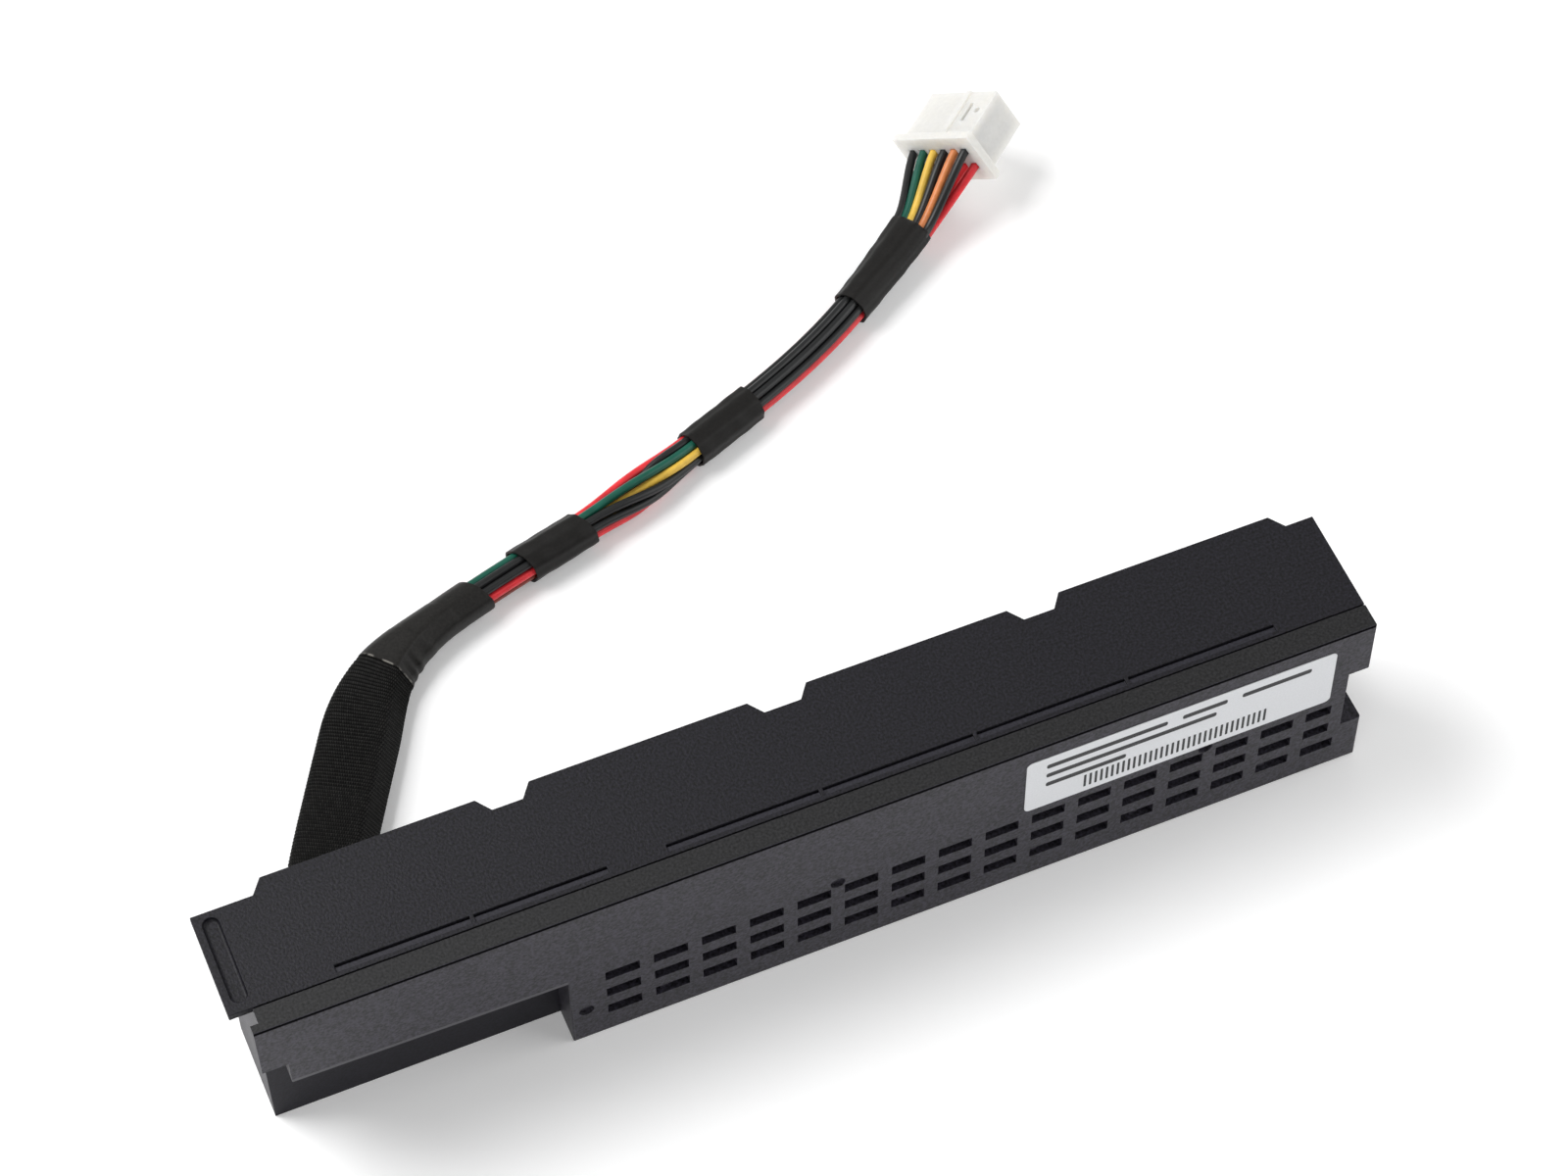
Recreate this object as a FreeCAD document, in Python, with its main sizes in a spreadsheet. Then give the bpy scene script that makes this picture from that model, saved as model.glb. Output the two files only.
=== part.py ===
import FreeCAD, Part
import math
import os
import Sketcher
from FreeCAD import Vector

# Driving dimensions, in millimetres and degrees.
SIZES = {
    # Moulded case
    "case_length": 215.0,
    "case_depth": 26.4,
    "case_height": 43.5,
    "wall": 2.0,
    "edge_round": 0.5,
    "cut_margin": 1.0,
    "strip_depth": 5.0,
    "ledge_depth": 1.5,
    "ledge_thickness": 1.6,
    "end_inset": 1.5,
    "end_lip": 2.0,
    "groove_depth": 4.3,
    "groove_bottom": 12.8,
    "groove_top": 29.8,
    "recess_length": 56.5,
    "recess_depth": 7.0,
    "recess_left_height": 23.0,
    "recess_right_height": 21.6,
    "shoulder_length": 4.8,
    "shoulder_height": 29.7,
    # Vents and moulding marks in the front wall
    "vent_columns": 16,
    "vent_pitch": 9.294,
    "vent_start": 63.48,
    "vent_width": 6.6,
    "vent_height": 2.8,
    "vent_rise": 5.98,
    "vent_low": 6.17,
    "vent_trim": 1.4,
    "mark_diameter": 2.9,
    "mark_depth": 0.8,
    "mark_left_along": 59.4,
    "mark_left_height": 9.9,
    "mark_middle_along": 108.6,
    "mark_right_along": 182.0,
    "mark_height": 22.4,
    # Lid
    "lid_thickness": 1.5,
    "lid_overhang": 2.8,
    "lid_gap": 0.3,
    "tab_depth": 3.0,
    "tab_slope": 2.2,
    "tab_start_1": 8.8,
    "tab_end_1": 53.4,
    "tab_start_2": 59.2,
    "tab_end_2": 105.5,
    "tab_start_3": 112.6,
    "tab_end_3": 156.6,
    "tab_start_4": 162.6,
    "tab_end_4": 209.5,
    "pull_width": 3.1,
    "pull_start": 7.1,
    "pull_end": 25.1,
    "pull_centre": 0.2,
    "pull_depth": 0.9,
    "pull_round": 0.6,
    "slot_front": 6.2,
    "slot_width": 1.5,
    "slot_depth": 1.0,
    "slot_near_depth": 0.2,
    "slot_rib": 0.7,
    "short_slot_start": 17.2,
    "short_slot_length": 50.6,
    "long_slot_start": 78.9,
    "long_slot_length": 118.8,
    "rim_height": 2.0,
    "rim_wall": 1.2,
    "rim_gap": 0.3,
    # Label
    "label_start": 145.3,
    "label_length": 62.0,
    "label_low": 23.3,
    "label_height": 16.2,
    "label_corner": 1.2,
    "label_thickness": 0.15,
    # Capacitor cells and what holds them
    "cell_diameter": 18.0,
    "cell_length": 40.0,
    "cell_button": 1.0,
    "cell_button_diameter": 6.0,
    "cell_bead": 0.8,
    "cell_bead_place": 4.0,
    "cell_start": 68.0,
    "cell_pitch": 47.0,
    "cell_row_gap": 1.0,
    "cell_base": 0.9,
    "cell_gap": 0.15,
    "saddle_thickness": 1.6,
    "saddle_inset": 6.0,
    "spacer_width": 19.0,
    "spacer_height": 10.0,
    "pad_width": 10.0,
    "strip_thickness": 0.3,
    "strip_width": 6.0,
    "link_width": 8.0,
    "link_reach": 4.0,
    # Control board
    "board_length": 46.0,
    "board_height": 34.0,
    "board_thickness": 1.6,
    "board_start": 6.2,
    "board_place": 14.0,
    "guide_clear": 1.9,
    "guide_wall": 1.5,
    "guide_grip": 1.5,
    "guide_gap": 0.15,
    "header_length": 18.0,
    "header_wall": 0.9,
    "header_lift": 0.1,
    "header_gap": 0.15,
    "inductor_side": 12.0,
    "inductor_depth": 6.0,
    "inductor_chamfer": 2.5,
    "chip_side": 7.0,
    "chip_depth": 1.0,
    "monitor_length": 5.0,
    "monitor_height": 4.0,
    "transistor_side": 4.0,
    "transistor_pitch": 5.4,
    "transistor_depth": 1.2,
    "bulk_diameter": 6.3,
    "bulk_length": 7.0,
    "bulk_pitch": 7.5,
    "resistor_length": 6.4,
    "resistor_height": 3.2,
    "resistor_depth": 0.7,
    # Cable
    "exit_start": 19.6,
    "exit_inset": 8.775,
    "exit_lift": 2.2,
    "exit_gap": 0.4,
    "bundle_diameter": 6.6,
    "sleeve_gap": 0.05,
    "weave_edge": 3.4,
    "weave_wall": 0.4,
    "tape_wall": 0.55,
    "shrink_wall": 0.7,
    "weave_start": 6.0,
    "weave_end": 81.0,
    "tape_end": 103.4,
    "shrink_1_start": 113.5,
    "shrink_1_end": 130.2,
    "shrink_2_start": 156.9,
    "shrink_2_end": 173.2,
    "shrink_3_start": 204.9,
    "shrink_3_end": 230.0,
    # Plug at the cable's far end
    "plug_side_wall": 0.95,
    "plug_face_wall": 1.8,
    "plug_length": 12.1,
    "plug_turn": 38.5,
    "plug_rise": 5.0,
    "plug_roll": -34.0,
    "flange_length": 2.3,
    "flange_lip": 1.3,
    "flange_round": 0.8,
    "cavity_pitch": 2.9,
    "cavity_rows_apart": 4.2,
    "cavity_side": 2.0,
    "cavity_floor": 1.2,
    "wire_hole_side": 1.7,
    "terminal_length": 7.0,
    "terminal_gap": 0.2,
    "key_width": 1.2,
    "key_height": 0.5,
    "key_offset": 1.8,
    "window_start": 4.0,
    "window_length": 4.9,
    "window_width": 0.9,
    "window_offset": 4.35,
    "window_depth": 1.2,
    "pin_mark_along": 6.9,
    "pin_mark_offset": 6.75,
    "pin_mark_diameter": 1.4,
}
CONTACTS_A_ROW = 6
SLOTS_SHORT = 2
SLOTS_LONG = 4
CELL_COLUMNS = 3
CELL_ROWS = 2
TABS = 4
TRANSISTORS = 4
BULK_CANS = 2
SHRINKS = 3
SHORT = 1e-4

# Route of the cable, measured from where its bundle meets the header on the board.
# Outside the case it lies on the surface that the case stands on.
CABLE_ROUTE = [
    Vector(0.0, 0.0, 0.0),
    Vector(0.0, 15.0, -0.42),
    Vector(5.4, 28.7, -0.81),
    Vector(16.7, 48.1, -1.36),
    Vector(27.6, 66.8, -1.88),
    Vector(38.7, 74.3, -2.15),
    Vector(58.6, 79.8, -2.15),
    Vector(84.3, 86.5, -2.15),
    Vector(109.5, 96.1, -2.15),
    Vector(134.8, 106.8, -2.15),
    Vector(153.8, 118.3, -1.9),
    Vector(167.1, 127.7, 0.0),
]
PLUG_ROUTE = Vector(180.9, 139.2, 4.95)
ARC_SHARE = 0.45


class Size:
    """A length with its value and the sheet expression that gives it."""

    def __init__(self, value, text):
        self.value = value
        self.text = text

    def joined(self, other, sign, value):
        return Size(value, f"({self.text} {sign} {as_size(other).text})")

    def __add__(self, other):
        return self.joined(other, "+", self.value + as_size(other).value)

    def __sub__(self, other):
        return self.joined(other, "-", self.value - as_size(other).value)

    def __mul__(self, other):
        return self.joined(other, "*", self.value * as_size(other).value)

    def __truediv__(self, other):
        return self.joined(other, "/", self.value / as_size(other).value)

    def __neg__(self):
        return Size(-self.value, f"(0 - {self.text})")

    __radd__ = __add__


def as_size(number):
    """The number itself if it is a Size, or a Size of that plain number."""
    if isinstance(number, Size):
        return number
    return Size(number, f"({number})")


class Sheet:
    """The spreadsheet's sizes, each by its own name."""

    def __init__(self, document):
        cells = document.addObject("Spreadsheet::Sheet", "Sizes")
        for row, (alias, value) in enumerate(SIZES.items(), start=1):
            cells.set(f"A{row}", alias)
            cells.set(f"B{row}", str(value))
            cells.setAlias(f"B{row}", alias)
            setattr(self, alias, Size(value, f"Sizes.{alias}"))


doc = FreeCAD.newDocument("backup_capacitor")
size = Sheet(doc)
doc.recompute()
pieces = []

# Places that several pieces share. The origin is under the middle of the case, lid and label.
CASE_LEFT = (size.lid_overhang - size.case_length) / 2
CASE_RIGHT = CASE_LEFT + size.case_length
FRONT = (size.label_thickness - size.case_depth - size.tab_depth) / 2
BACK = FRONT + size.case_depth
TOP = size.case_height
FRONT_INNER = FRONT + size.wall
BACK_INNER = BACK - size.wall
FLOOR = size.wall
LID_UNDER = TOP - size.lid_thickness
LEDGE_EDGE = FRONT + size.strip_depth + size.ledge_depth
LEDGE_UNDER = LID_UNDER - size.ledge_thickness
BAY_LEFT = CASE_LEFT + size.end_inset + size.wall
BAY_MIDDLE = CASE_LEFT + size.recess_length + size.wall
BAY_RIGHT = CASE_RIGHT - size.groove_depth - size.wall
RECESS_INNER = FRONT + size.recess_depth + size.wall
CELL_MIDDLE = (FRONT_INNER + BACK_INNER) / 2
CELL_RADIUS = size.cell_diameter / 2
CELL_LOW = FLOOR + size.cell_base + CELL_RADIUS
CELL_HIGH = CELL_LOW + size.cell_diameter + size.cell_row_gap
CELL_LEFT = CASE_LEFT + size.cell_start
SEAT_RADIUS = CELL_RADIUS + size.cell_gap
BOARD_LEFT = CASE_LEFT + size.board_start
BOARD_RIGHT = BOARD_LEFT + size.board_length
BOARD_FRONT = BACK - size.board_place
BOARD_BACK = BOARD_FRONT + size.board_thickness
STRIP_LOW = CELL_HIGH - size.strip_width / 2
STRIP_HIGH = CELL_HIGH + size.strip_width / 2
HEADER_LOW = FLOOR + size.header_lift
HEADER_HEIGHT = size.bundle_diameter + size.header_wall * 2
EXIT_ALONG = CASE_LEFT + size.exit_start
EXIT_DEPTH = BACK - size.exit_inset
SLEEVE_BORE = size.bundle_diameter + size.sleeve_gap * 2
EXIT_HEIGHT = SLEEVE_BORE / 2 + size.shrink_wall + size.exit_lift
EXIT = Vector(EXIT_ALONG.value, EXIT_DEPTH.value, EXIT_HEIGHT.value)
WEAVE_WIDTH = SLEEVE_BORE + size.weave_edge * 2
WEAVE_THICKNESS = SLEEVE_BORE + size.weave_wall * 2
PLUG_PLACE = EXIT + PLUG_ROUTE
ROW_LENGTH = size.cavity_pitch * (CONTACTS_A_ROW - 1)


def bind(target, name, length):
    """Binds a property to the sheet."""
    target.setExpression(name, as_size(length).text)


def keep(piece, label):
    """Names a finished sub-part and lists it for writing."""
    piece.Label = label
    pieces.append(piece)
    return piece


def new_body(label):
    return keep(doc.addObject("PartDesign::Body", label), label)


def new_sketch(body, role, lift):
    """A sketch on one of the body's own planes, moved along the plane's normal."""
    plane = next(f for f in body.Origin.OriginFeatures if f.Role == role)
    sketch = body.newObject("Sketcher::SketchObject", "Outline")
    sketch.AttachmentSupport = [(plane, "")]
    sketch.MapMode = "FlatFace"
    bind(sketch, "AttachmentOffset.Base.z", lift)
    return sketch


def fix_point(sketch, geometry, end, across, up):
    """Holds a point of a sketch at its two distances from the origin."""
    for kind, length in (("DistanceX", across), ("DistanceY", up)):
        length = as_size(length)
        constraint = Sketcher.Constraint(kind, -1, 1, geometry, end, length.value)
        index = sketch.addConstraint(constraint)
        sketch.setExpression(f"Constraints[{index}]", length.text)


def outline(sketch, corners):
    """A closed outline of straight sides through the corners."""
    corners = [(as_size(across), as_size(up)) for across, up in corners]
    first = sketch.GeometryCount
    count = len(corners)
    points = [Vector(across.value, up.value, 0) for across, up in corners]
    for i in range(count):
        sketch.addGeometry(Part.LineSegment(points[i], points[(i + 1) % count]), False)
    for i in range(count):
        following = first + (i + 1) % count
        sketch.addConstraint(Sketcher.Constraint("Coincident", first + i, 2, following, 1))
        fix_point(sketch, first + i, 1, *corners[i])


def rectangle(sketch, left, right, low, high):
    outline(sketch, [(left, low), (right, low), (right, high), (left, high)])


def circle(sketch, across, up, diameter):
    across, up, diameter = as_size(across), as_size(up), as_size(diameter)
    centre = Vector(across.value, up.value, 0)
    index = sketch.addGeometry(Part.Circle(centre, Vector(0, 0, 1), diameter.value / 2), False)
    fix_point(sketch, index, 3, across, up)
    constraint = sketch.addConstraint(Sketcher.Constraint("Diameter", index, diameter.value))
    sketch.setExpression(f"Constraints[{constraint}]", diameter.text)


def obround(sketch, across, low, high, width):
    """A slot with round ends that stands along the sketch's second axis."""
    radius = width / 2
    low_centre, high_centre = low + radius, high - radius
    left, right = across - radius, across + radius
    side = sketch.GeometryCount
    for place in (left, right):
        start = Vector(place.value, low_centre.value, 0)
        sketch.addGeometry(Part.LineSegment(start, Vector(place.value, high_centre.value, 0)), False)
    for up, turn in ((low_centre, math.pi), (high_centre, 0)):
        ring = Part.Circle(Vector(across.value, up.value, 0), Vector(0, 0, 1), radius.value)
        sketch.addGeometry(Part.ArcOfCircle(ring, turn, turn + math.pi), False)
    for line, place in ((side, left), (side + 1, right)):
        fix_point(sketch, line, 1, place, low_centre)
        fix_point(sketch, line, 2, place, high_centre)
    joins = (
        (side, 1, side + 2, 1),
        (side + 1, 1, side + 2, 2),
        (side + 1, 2, side + 3, 1),
        (side, 2, side + 3, 2),
    )
    for line, line_end, arc, arc_end in joins:
        sketch.addConstraint(Sketcher.Constraint("Coincident", line, line_end, arc, arc_end))
    for arc, up in ((side + 2, low_centre), (side + 3, high_centre)):
        constraint = Sketcher.Constraint("DistanceY", -1, 1, arc, 3, up.value)
        sketch.setExpression(f"Constraints[{sketch.addConstraint(constraint)}]", up.text)


def extrude(body, kind, sketch, length, backwards=False):
    feature = body.newObject(f"PartDesign::{kind}", kind)
    feature.Profile = sketch
    feature.Reversed = backwards
    bind(feature, "Length", length)
    doc.recompute()
    return feature


def pad(body, sketch, length, backwards=False):
    return extrude(body, "Pad", sketch, length, backwards)


def pocket(body, sketch, length, backwards=False):
    """Cuts the sketch out of the body, and stops if nothing was cut."""
    before = body.Shape.Volume
    feature = extrude(body, "Pocket", sketch, length, backwards)
    if body.Shape.Volume > before - SHORT:
        raise RuntimeError(f"a pocket in {body.Label} cuts nothing")
    return feature


def round_edges(body, chosen, radius):
    """Rounds the edges of the body's last feature that the test chooses."""
    base = body.Tip
    names = [f"Edge{i}" for i, edge in enumerate(base.Shape.Edges, start=1) if chosen(edge)]
    feature = body.newObject("PartDesign::Fillet", "Fillet")
    feature.Base = (base, names)
    bind(feature, "Radius", radius)
    doc.recompute()


def lies_along(edge, axis):
    """Whether a straight edge runs along the axis X, Y or Z."""
    if not isinstance(edge.Curve, Part.Line):
        return False
    return abs(getattr(edge.Curve.Direction, axis)) > 1 - SHORT


def near(place, length):
    return abs(place - as_size(length).value) < SHORT


def front_sketch(body, depth):
    """A sketch that faces the front, at a depth along Y, across X and up Z."""
    return new_sketch(body, "XZ_Plane", -depth)


def section_sketch(body, along):
    """A sketch across the length, at a place along X, across Y and up Z."""
    return new_sketch(body, "YZ_Plane", along)


def plan_sketch(body, height):
    """A sketch that faces up, at a height along Z."""
    return new_sketch(body, "XY_Plane", as_size(height))


def block(body, left, right, front, back, low, high):
    """A box-shaped pad between its six faces."""
    sketch = plan_sketch(body, low)
    rectangle(sketch, left, right, front, back)
    return pad(body, sketch, as_size(high) - low)


# Moulded case


def case_shell(body):
    """The case's outer form: side outline with the end groove, stepped left end and front recess."""
    groove = CASE_RIGHT - size.groove_depth
    sketch = front_sketch(body, FRONT)
    outline(sketch, [
        (CASE_LEFT, 0), (CASE_RIGHT, 0), (CASE_RIGHT, size.groove_bottom), (groove, size.groove_bottom),
        (groove, size.groove_top), (CASE_RIGHT, size.groove_top), (CASE_RIGHT, TOP), (CASE_LEFT, TOP),
    ])
    pad(body, sketch, size.case_depth, backwards=True)

    margin = size.cut_margin
    sketch = plan_sketch(body, 0)
    rectangle(sketch, CASE_LEFT - margin, CASE_LEFT + size.end_inset, FRONT + size.end_lip, BACK + margin)
    pocket(body, sketch, TOP, backwards=True)

    shoulder = CASE_LEFT + size.shoulder_length
    recess_end = CASE_LEFT + size.recess_length
    sketch = front_sketch(body, FRONT)
    outline(sketch, [
        (CASE_LEFT - margin, -margin), (recess_end, -margin), (recess_end, size.recess_right_height),
        (shoulder, size.recess_left_height), (shoulder, size.shoulder_height),
        (CASE_LEFT - margin, size.shoulder_height),
    ])
    pocket(body, sketch, size.recess_depth)


def case_bays(body):
    """The seat of the lid and the three joined bays inside the case."""
    above = TOP + size.cut_margin
    length = size.case_length + size.cut_margin * 2
    sketch = section_sketch(body, CASE_LEFT - size.cut_margin)
    rectangle(sketch, FRONT + size.strip_depth, BACK + size.cut_margin, LID_UNDER, above)
    pocket(body, sketch, length, backwards=True)

    sketch = section_sketch(body, BAY_MIDDLE)
    outline(sketch, [
        (LEDGE_EDGE, above), (LEDGE_EDGE, LEDGE_UNDER), (FRONT_INNER, LEDGE_UNDER),
        (FRONT_INNER, FLOOR), (BACK_INNER, FLOOR), (BACK_INNER, above),
    ])
    pocket(body, sketch, BAY_RIGHT - BAY_MIDDLE, backwards=True)

    sketch = section_sketch(body, BAY_LEFT)
    rectangle(sketch, RECESS_INNER, BACK_INNER, FLOOR, above)
    pocket(body, sketch, BAY_MIDDLE - BAY_LEFT, backwards=True)

    shelf = size.recess_left_height + size.wall
    start = CASE_LEFT + size.shoulder_length + size.wall
    sketch = section_sketch(body, start)
    outline(sketch, [
        (LEDGE_EDGE, above), (LEDGE_EDGE, LEDGE_UNDER), (FRONT_INNER, LEDGE_UNDER),
        (FRONT_INNER, shelf), (RECESS_INNER, shelf), (RECESS_INNER, above),
    ])
    pocket(body, sketch, BAY_MIDDLE - start, backwards=True)


def vent_column(body, along, trims):
    """One column of three vents, each shortened at its right end by its trim."""
    sketch = front_sketch(body, FRONT - size.cut_margin)
    for row, trim in enumerate(trims):
        low = size.vent_low + size.vent_rise * row
        rectangle(sketch, along, along + size.vent_width - trim, low, low + size.vent_height)
    return sketch, pocket(body, sketch, size.wall + size.cut_margin * 2)


def case_openings(body):
    """The vents, the moulding marks in the front wall and the way out for the cable."""
    first = CASE_LEFT + size.vent_start
    sketch, column = vent_column(body, first, (0, 0, 0))
    pattern = body.newObject("PartDesign::LinearPattern", "VentPattern")
    pattern.Originals = [column]
    pattern.Direction = (sketch, ["H_Axis"])
    bind(pattern, "Length", size.vent_pitch * (size.vent_columns - 2))
    bind(pattern, "Occurrences", size.vent_columns - 1)
    body.Tip = pattern
    doc.recompute()
    last = first + size.vent_pitch * (size.vent_columns - 1)
    vent_column(body, last, (0, size.vent_trim, size.vent_trim))

    marks = (
        (size.mark_left_along, size.mark_left_height),
        (size.mark_middle_along, size.mark_height),
        (size.mark_right_along, size.mark_height),
    )
    sketch = front_sketch(body, FRONT)
    for along, height in marks:
        circle(sketch, CASE_LEFT + along, height, size.mark_diameter)
    pocket(body, sketch, size.mark_depth)

    half_width, half_height = WEAVE_WIDTH / 2 + size.exit_gap, WEAVE_THICKNESS / 2 + size.exit_gap
    left, right = EXIT_ALONG - half_width, EXIT_ALONG + half_width
    sketch = front_sketch(body, EXIT_DEPTH)
    rectangle(sketch, left, right, EXIT_HEIGHT - half_height, EXIT_HEIGHT + half_height)
    pocket(body, sketch, BACK + size.cut_margin - EXIT_DEPTH)


def case_inside(body):
    """The saddles under the cells and the two upright guides of the board."""
    root = size.wall / 2
    for column in range(CELL_COLUMNS):
        start = CELL_LEFT + size.cell_pitch * column
        far = size.cell_length - size.saddle_inset - size.saddle_thickness
        for inset in (size.saddle_inset, far):
            sketch = section_sketch(body, start + inset)
            rectangle(sketch, FRONT_INNER - root, BACK_INNER + root, FLOOR - root, CELL_LOW)
            pad(body, sketch, size.saddle_thickness)
    sketch = section_sketch(body, BAY_MIDDLE)
    circle(sketch, CELL_MIDDLE, CELL_LOW, SEAT_RADIUS * 2)
    pocket(body, sketch, BAY_RIGHT - BAY_MIDDLE, backwards=True)

    gap, wall, grip = size.guide_gap, size.guide_wall, size.guide_grip
    for edge, inward in ((BOARD_LEFT - gap, 1), (BOARD_RIGHT + gap, -1)):
        outside = edge - wall * inward
        tip = edge + grip * inward
        sketch = plan_sketch(body, FLOOR - root)
        outline(sketch, [
            (outside, BOARD_FRONT - gap - wall), (tip, BOARD_FRONT - gap - wall), (tip, BOARD_FRONT - gap),
            (edge, BOARD_FRONT - gap), (edge, BOARD_BACK + gap), (tip, BOARD_BACK + gap),
            (tip, BOARD_BACK + gap + wall), (outside, BOARD_BACK + gap + wall),
        ])
        pad(body, sketch, STRIP_LOW - size.guide_clear - FLOOR + root)


def make_case():
    body = new_body("case_body")
    case_shell(body)
    outer = (
        ("x", lambda c: near(c.y, FRONT) and (near(c.z, TOP) or near(c.z, 0))),
        ("z", lambda c: near(c.y, FRONT) and near(c.x, CASE_RIGHT)),
        ("z", lambda c: near(c.y, FRONT) and near(c.x, CASE_LEFT + size.recess_length)),
    )
    round_edges(
        body,
        lambda edge: any(lies_along(edge, axis) and test(edge.CenterOfMass) for axis, test in outer),
        size.edge_round,
    )
    case_bays(body)
    case_openings(body)
    case_inside(body)


# Lid


def lid_plate(body):
    """The plate's plan: straight front and ends, and four sloped tabs along the back."""
    front = FRONT + size.strip_depth + size.lid_gap
    left = CASE_LEFT - size.lid_overhang
    corners = [(left, front), (CASE_RIGHT, front), (CASE_RIGHT, BACK)]
    for number in range(TABS, 0, -1):
        start = CASE_LEFT + getattr(size, f"tab_start_{number}")
        end = CASE_LEFT + getattr(size, f"tab_end_{number}")
        tip = BACK + size.tab_depth
        corners += [(end, BACK), (end - size.tab_slope, tip), (start + size.tab_slope, tip), (start, BACK)]
    corners.append((left, BACK))
    sketch = plan_sketch(body, LID_UNDER)
    outline(sketch, corners)
    pad(body, sketch, size.lid_thickness)


def lid_marks(body):
    """The dished finger pull and the rows of narrow slots, which deepen toward the back."""
    sketch = plan_sketch(body, TOP)
    middle = CASE_LEFT + size.pull_centre
    obround(sketch, middle, FRONT + size.pull_start, FRONT + size.pull_end, size.pull_width)
    pocket(body, sketch, size.pull_depth)
    dish = TOP - size.pull_depth
    round_edges(body, lambda edge: near(edge.CenterOfMass.z, dish), size.pull_round)

    front = FRONT + size.slot_front
    back = front + size.slot_width
    above = TOP + size.cut_margin
    rows = (
        (size.short_slot_start, size.short_slot_length, SLOTS_SHORT),
        (size.long_slot_start, size.long_slot_length, SLOTS_LONG),
    )
    for start, length, count in rows:
        step = (length + size.slot_rib) / count
        for i in range(count):
            sketch = section_sketch(body, CASE_LEFT + start + step * i)
            outline(sketch, [
                (front, above), (front, TOP - size.slot_near_depth),
                (back, TOP - size.slot_depth), (back, above),
            ])
            pocket(body, sketch, step - size.slot_rib, backwards=True)


def lid_rim(body):
    """The rim under the plate that finds the case's opening."""
    gap, wall = size.rim_gap, size.rim_wall
    left = CASE_LEFT + size.shoulder_length + size.wall + gap
    right, front, back = BAY_RIGHT - gap, LEDGE_EDGE + gap, BACK_INNER - gap
    sketch = plan_sketch(body, LID_UNDER)
    rectangle(sketch, left, right, front, back)
    rectangle(sketch, left + wall, right - wall, front + wall, back - wall)
    pad(body, sketch, size.rim_height, backwards=True)


def make_lid():
    body = new_body("lid")
    lid_plate(body)
    lid_marks(body)
    lid_rim(body)


# Label


def make_label():
    body = new_body("product_label")
    left = CASE_LEFT + size.label_start
    sketch = front_sketch(body, FRONT)
    rectangle(sketch, left, left + size.label_length, size.label_low, size.label_low + size.label_height)
    pad(body, sketch, size.label_thickness)
    round_edges(body, lambda edge: lies_along(edge, "y"), size.label_corner)


# Capacitor cells


def make_cell(number, column, height):
    """One can, turned about its own axis: beaded near the end that carries its button."""
    body = new_body(f"capacitor_cell_{number}")
    bead, length = size.cell_bead, size.cell_length
    place = length - size.cell_bead_place
    button = size.cell_button_diameter / 2
    sketch = plan_sketch(body, 0)
    outline(sketch, [
        (0, 0), (length + size.cell_button, 0), (length + size.cell_button, button), (length, button),
        (length, CELL_RADIUS), (place + bead, CELL_RADIUS), (place, CELL_RADIUS - bead),
        (place - bead, CELL_RADIUS), (0, CELL_RADIUS),
    ])
    turned = body.newObject("PartDesign::Revolution", "Revolution")
    turned.Profile = sketch
    turned.ReferenceAxis = (sketch, ["H_Axis"])
    turned.Angle = 360
    bind(body, "Placement.Base.x", CELL_LEFT + size.cell_pitch * column)
    bind(body, "Placement.Base.y", CELL_MIDDLE)
    bind(body, "Placement.Base.z", height)


def make_spacer(column):
    """The moulding between the two cells of a column, hollowed to both."""
    body = new_body(f"cell_spacer_{column + 1}")
    middle = (CELL_LOW + CELL_HIGH) / 2
    half_width, half = size.spacer_width / 2, size.spacer_height / 2
    sketch = section_sketch(body, 0)
    rectangle(sketch, CELL_MIDDLE - half_width, CELL_MIDDLE + half_width, middle - half, middle + half)
    pad(body, sketch, size.cell_length)
    sketch = section_sketch(body, 0)
    for height in (CELL_LOW, CELL_HIGH):
        circle(sketch, CELL_MIDDLE, height, SEAT_RADIUS * 2)
    pocket(body, sketch, size.cell_length, backwards=True)
    bind(body, "Placement.Base.x", CELL_LEFT + size.cell_pitch * column)


def make_pad():
    """The foam strip that holds the upper cells down when the lid is on."""
    right = CELL_LEFT + size.cell_pitch * (CELL_COLUMNS - 1) + size.cell_length
    half = size.pad_width / 2
    low = CELL_HIGH + CELL_RADIUS
    body = new_body("lid_pad")
    block(body, CELL_LEFT, right, CELL_MIDDLE - half, CELL_MIDDLE + half, low, LID_UNDER)


def make_link(column):
    """The folded strip that joins one column's buttons to the next column's cans."""
    body = new_body(f"cell_link_{column + 1}")
    left = CELL_LEFT + size.cell_pitch * column + size.cell_length + size.cell_button
    right = CELL_LEFT + size.cell_pitch * (column + 1)
    low, high, thick = CELL_LOW - size.link_reach, CELL_HIGH + size.link_reach, size.strip_thickness
    sketch = front_sketch(body, CELL_MIDDLE - size.link_width / 2)
    outline(sketch, [
        (left, low), (left + thick, low), (left + thick, high - thick), (right - thick, high - thick),
        (right - thick, low), (right, low), (right, high), (left, high),
    ])
    pad(body, sketch, size.link_width, backwards=True)


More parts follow.
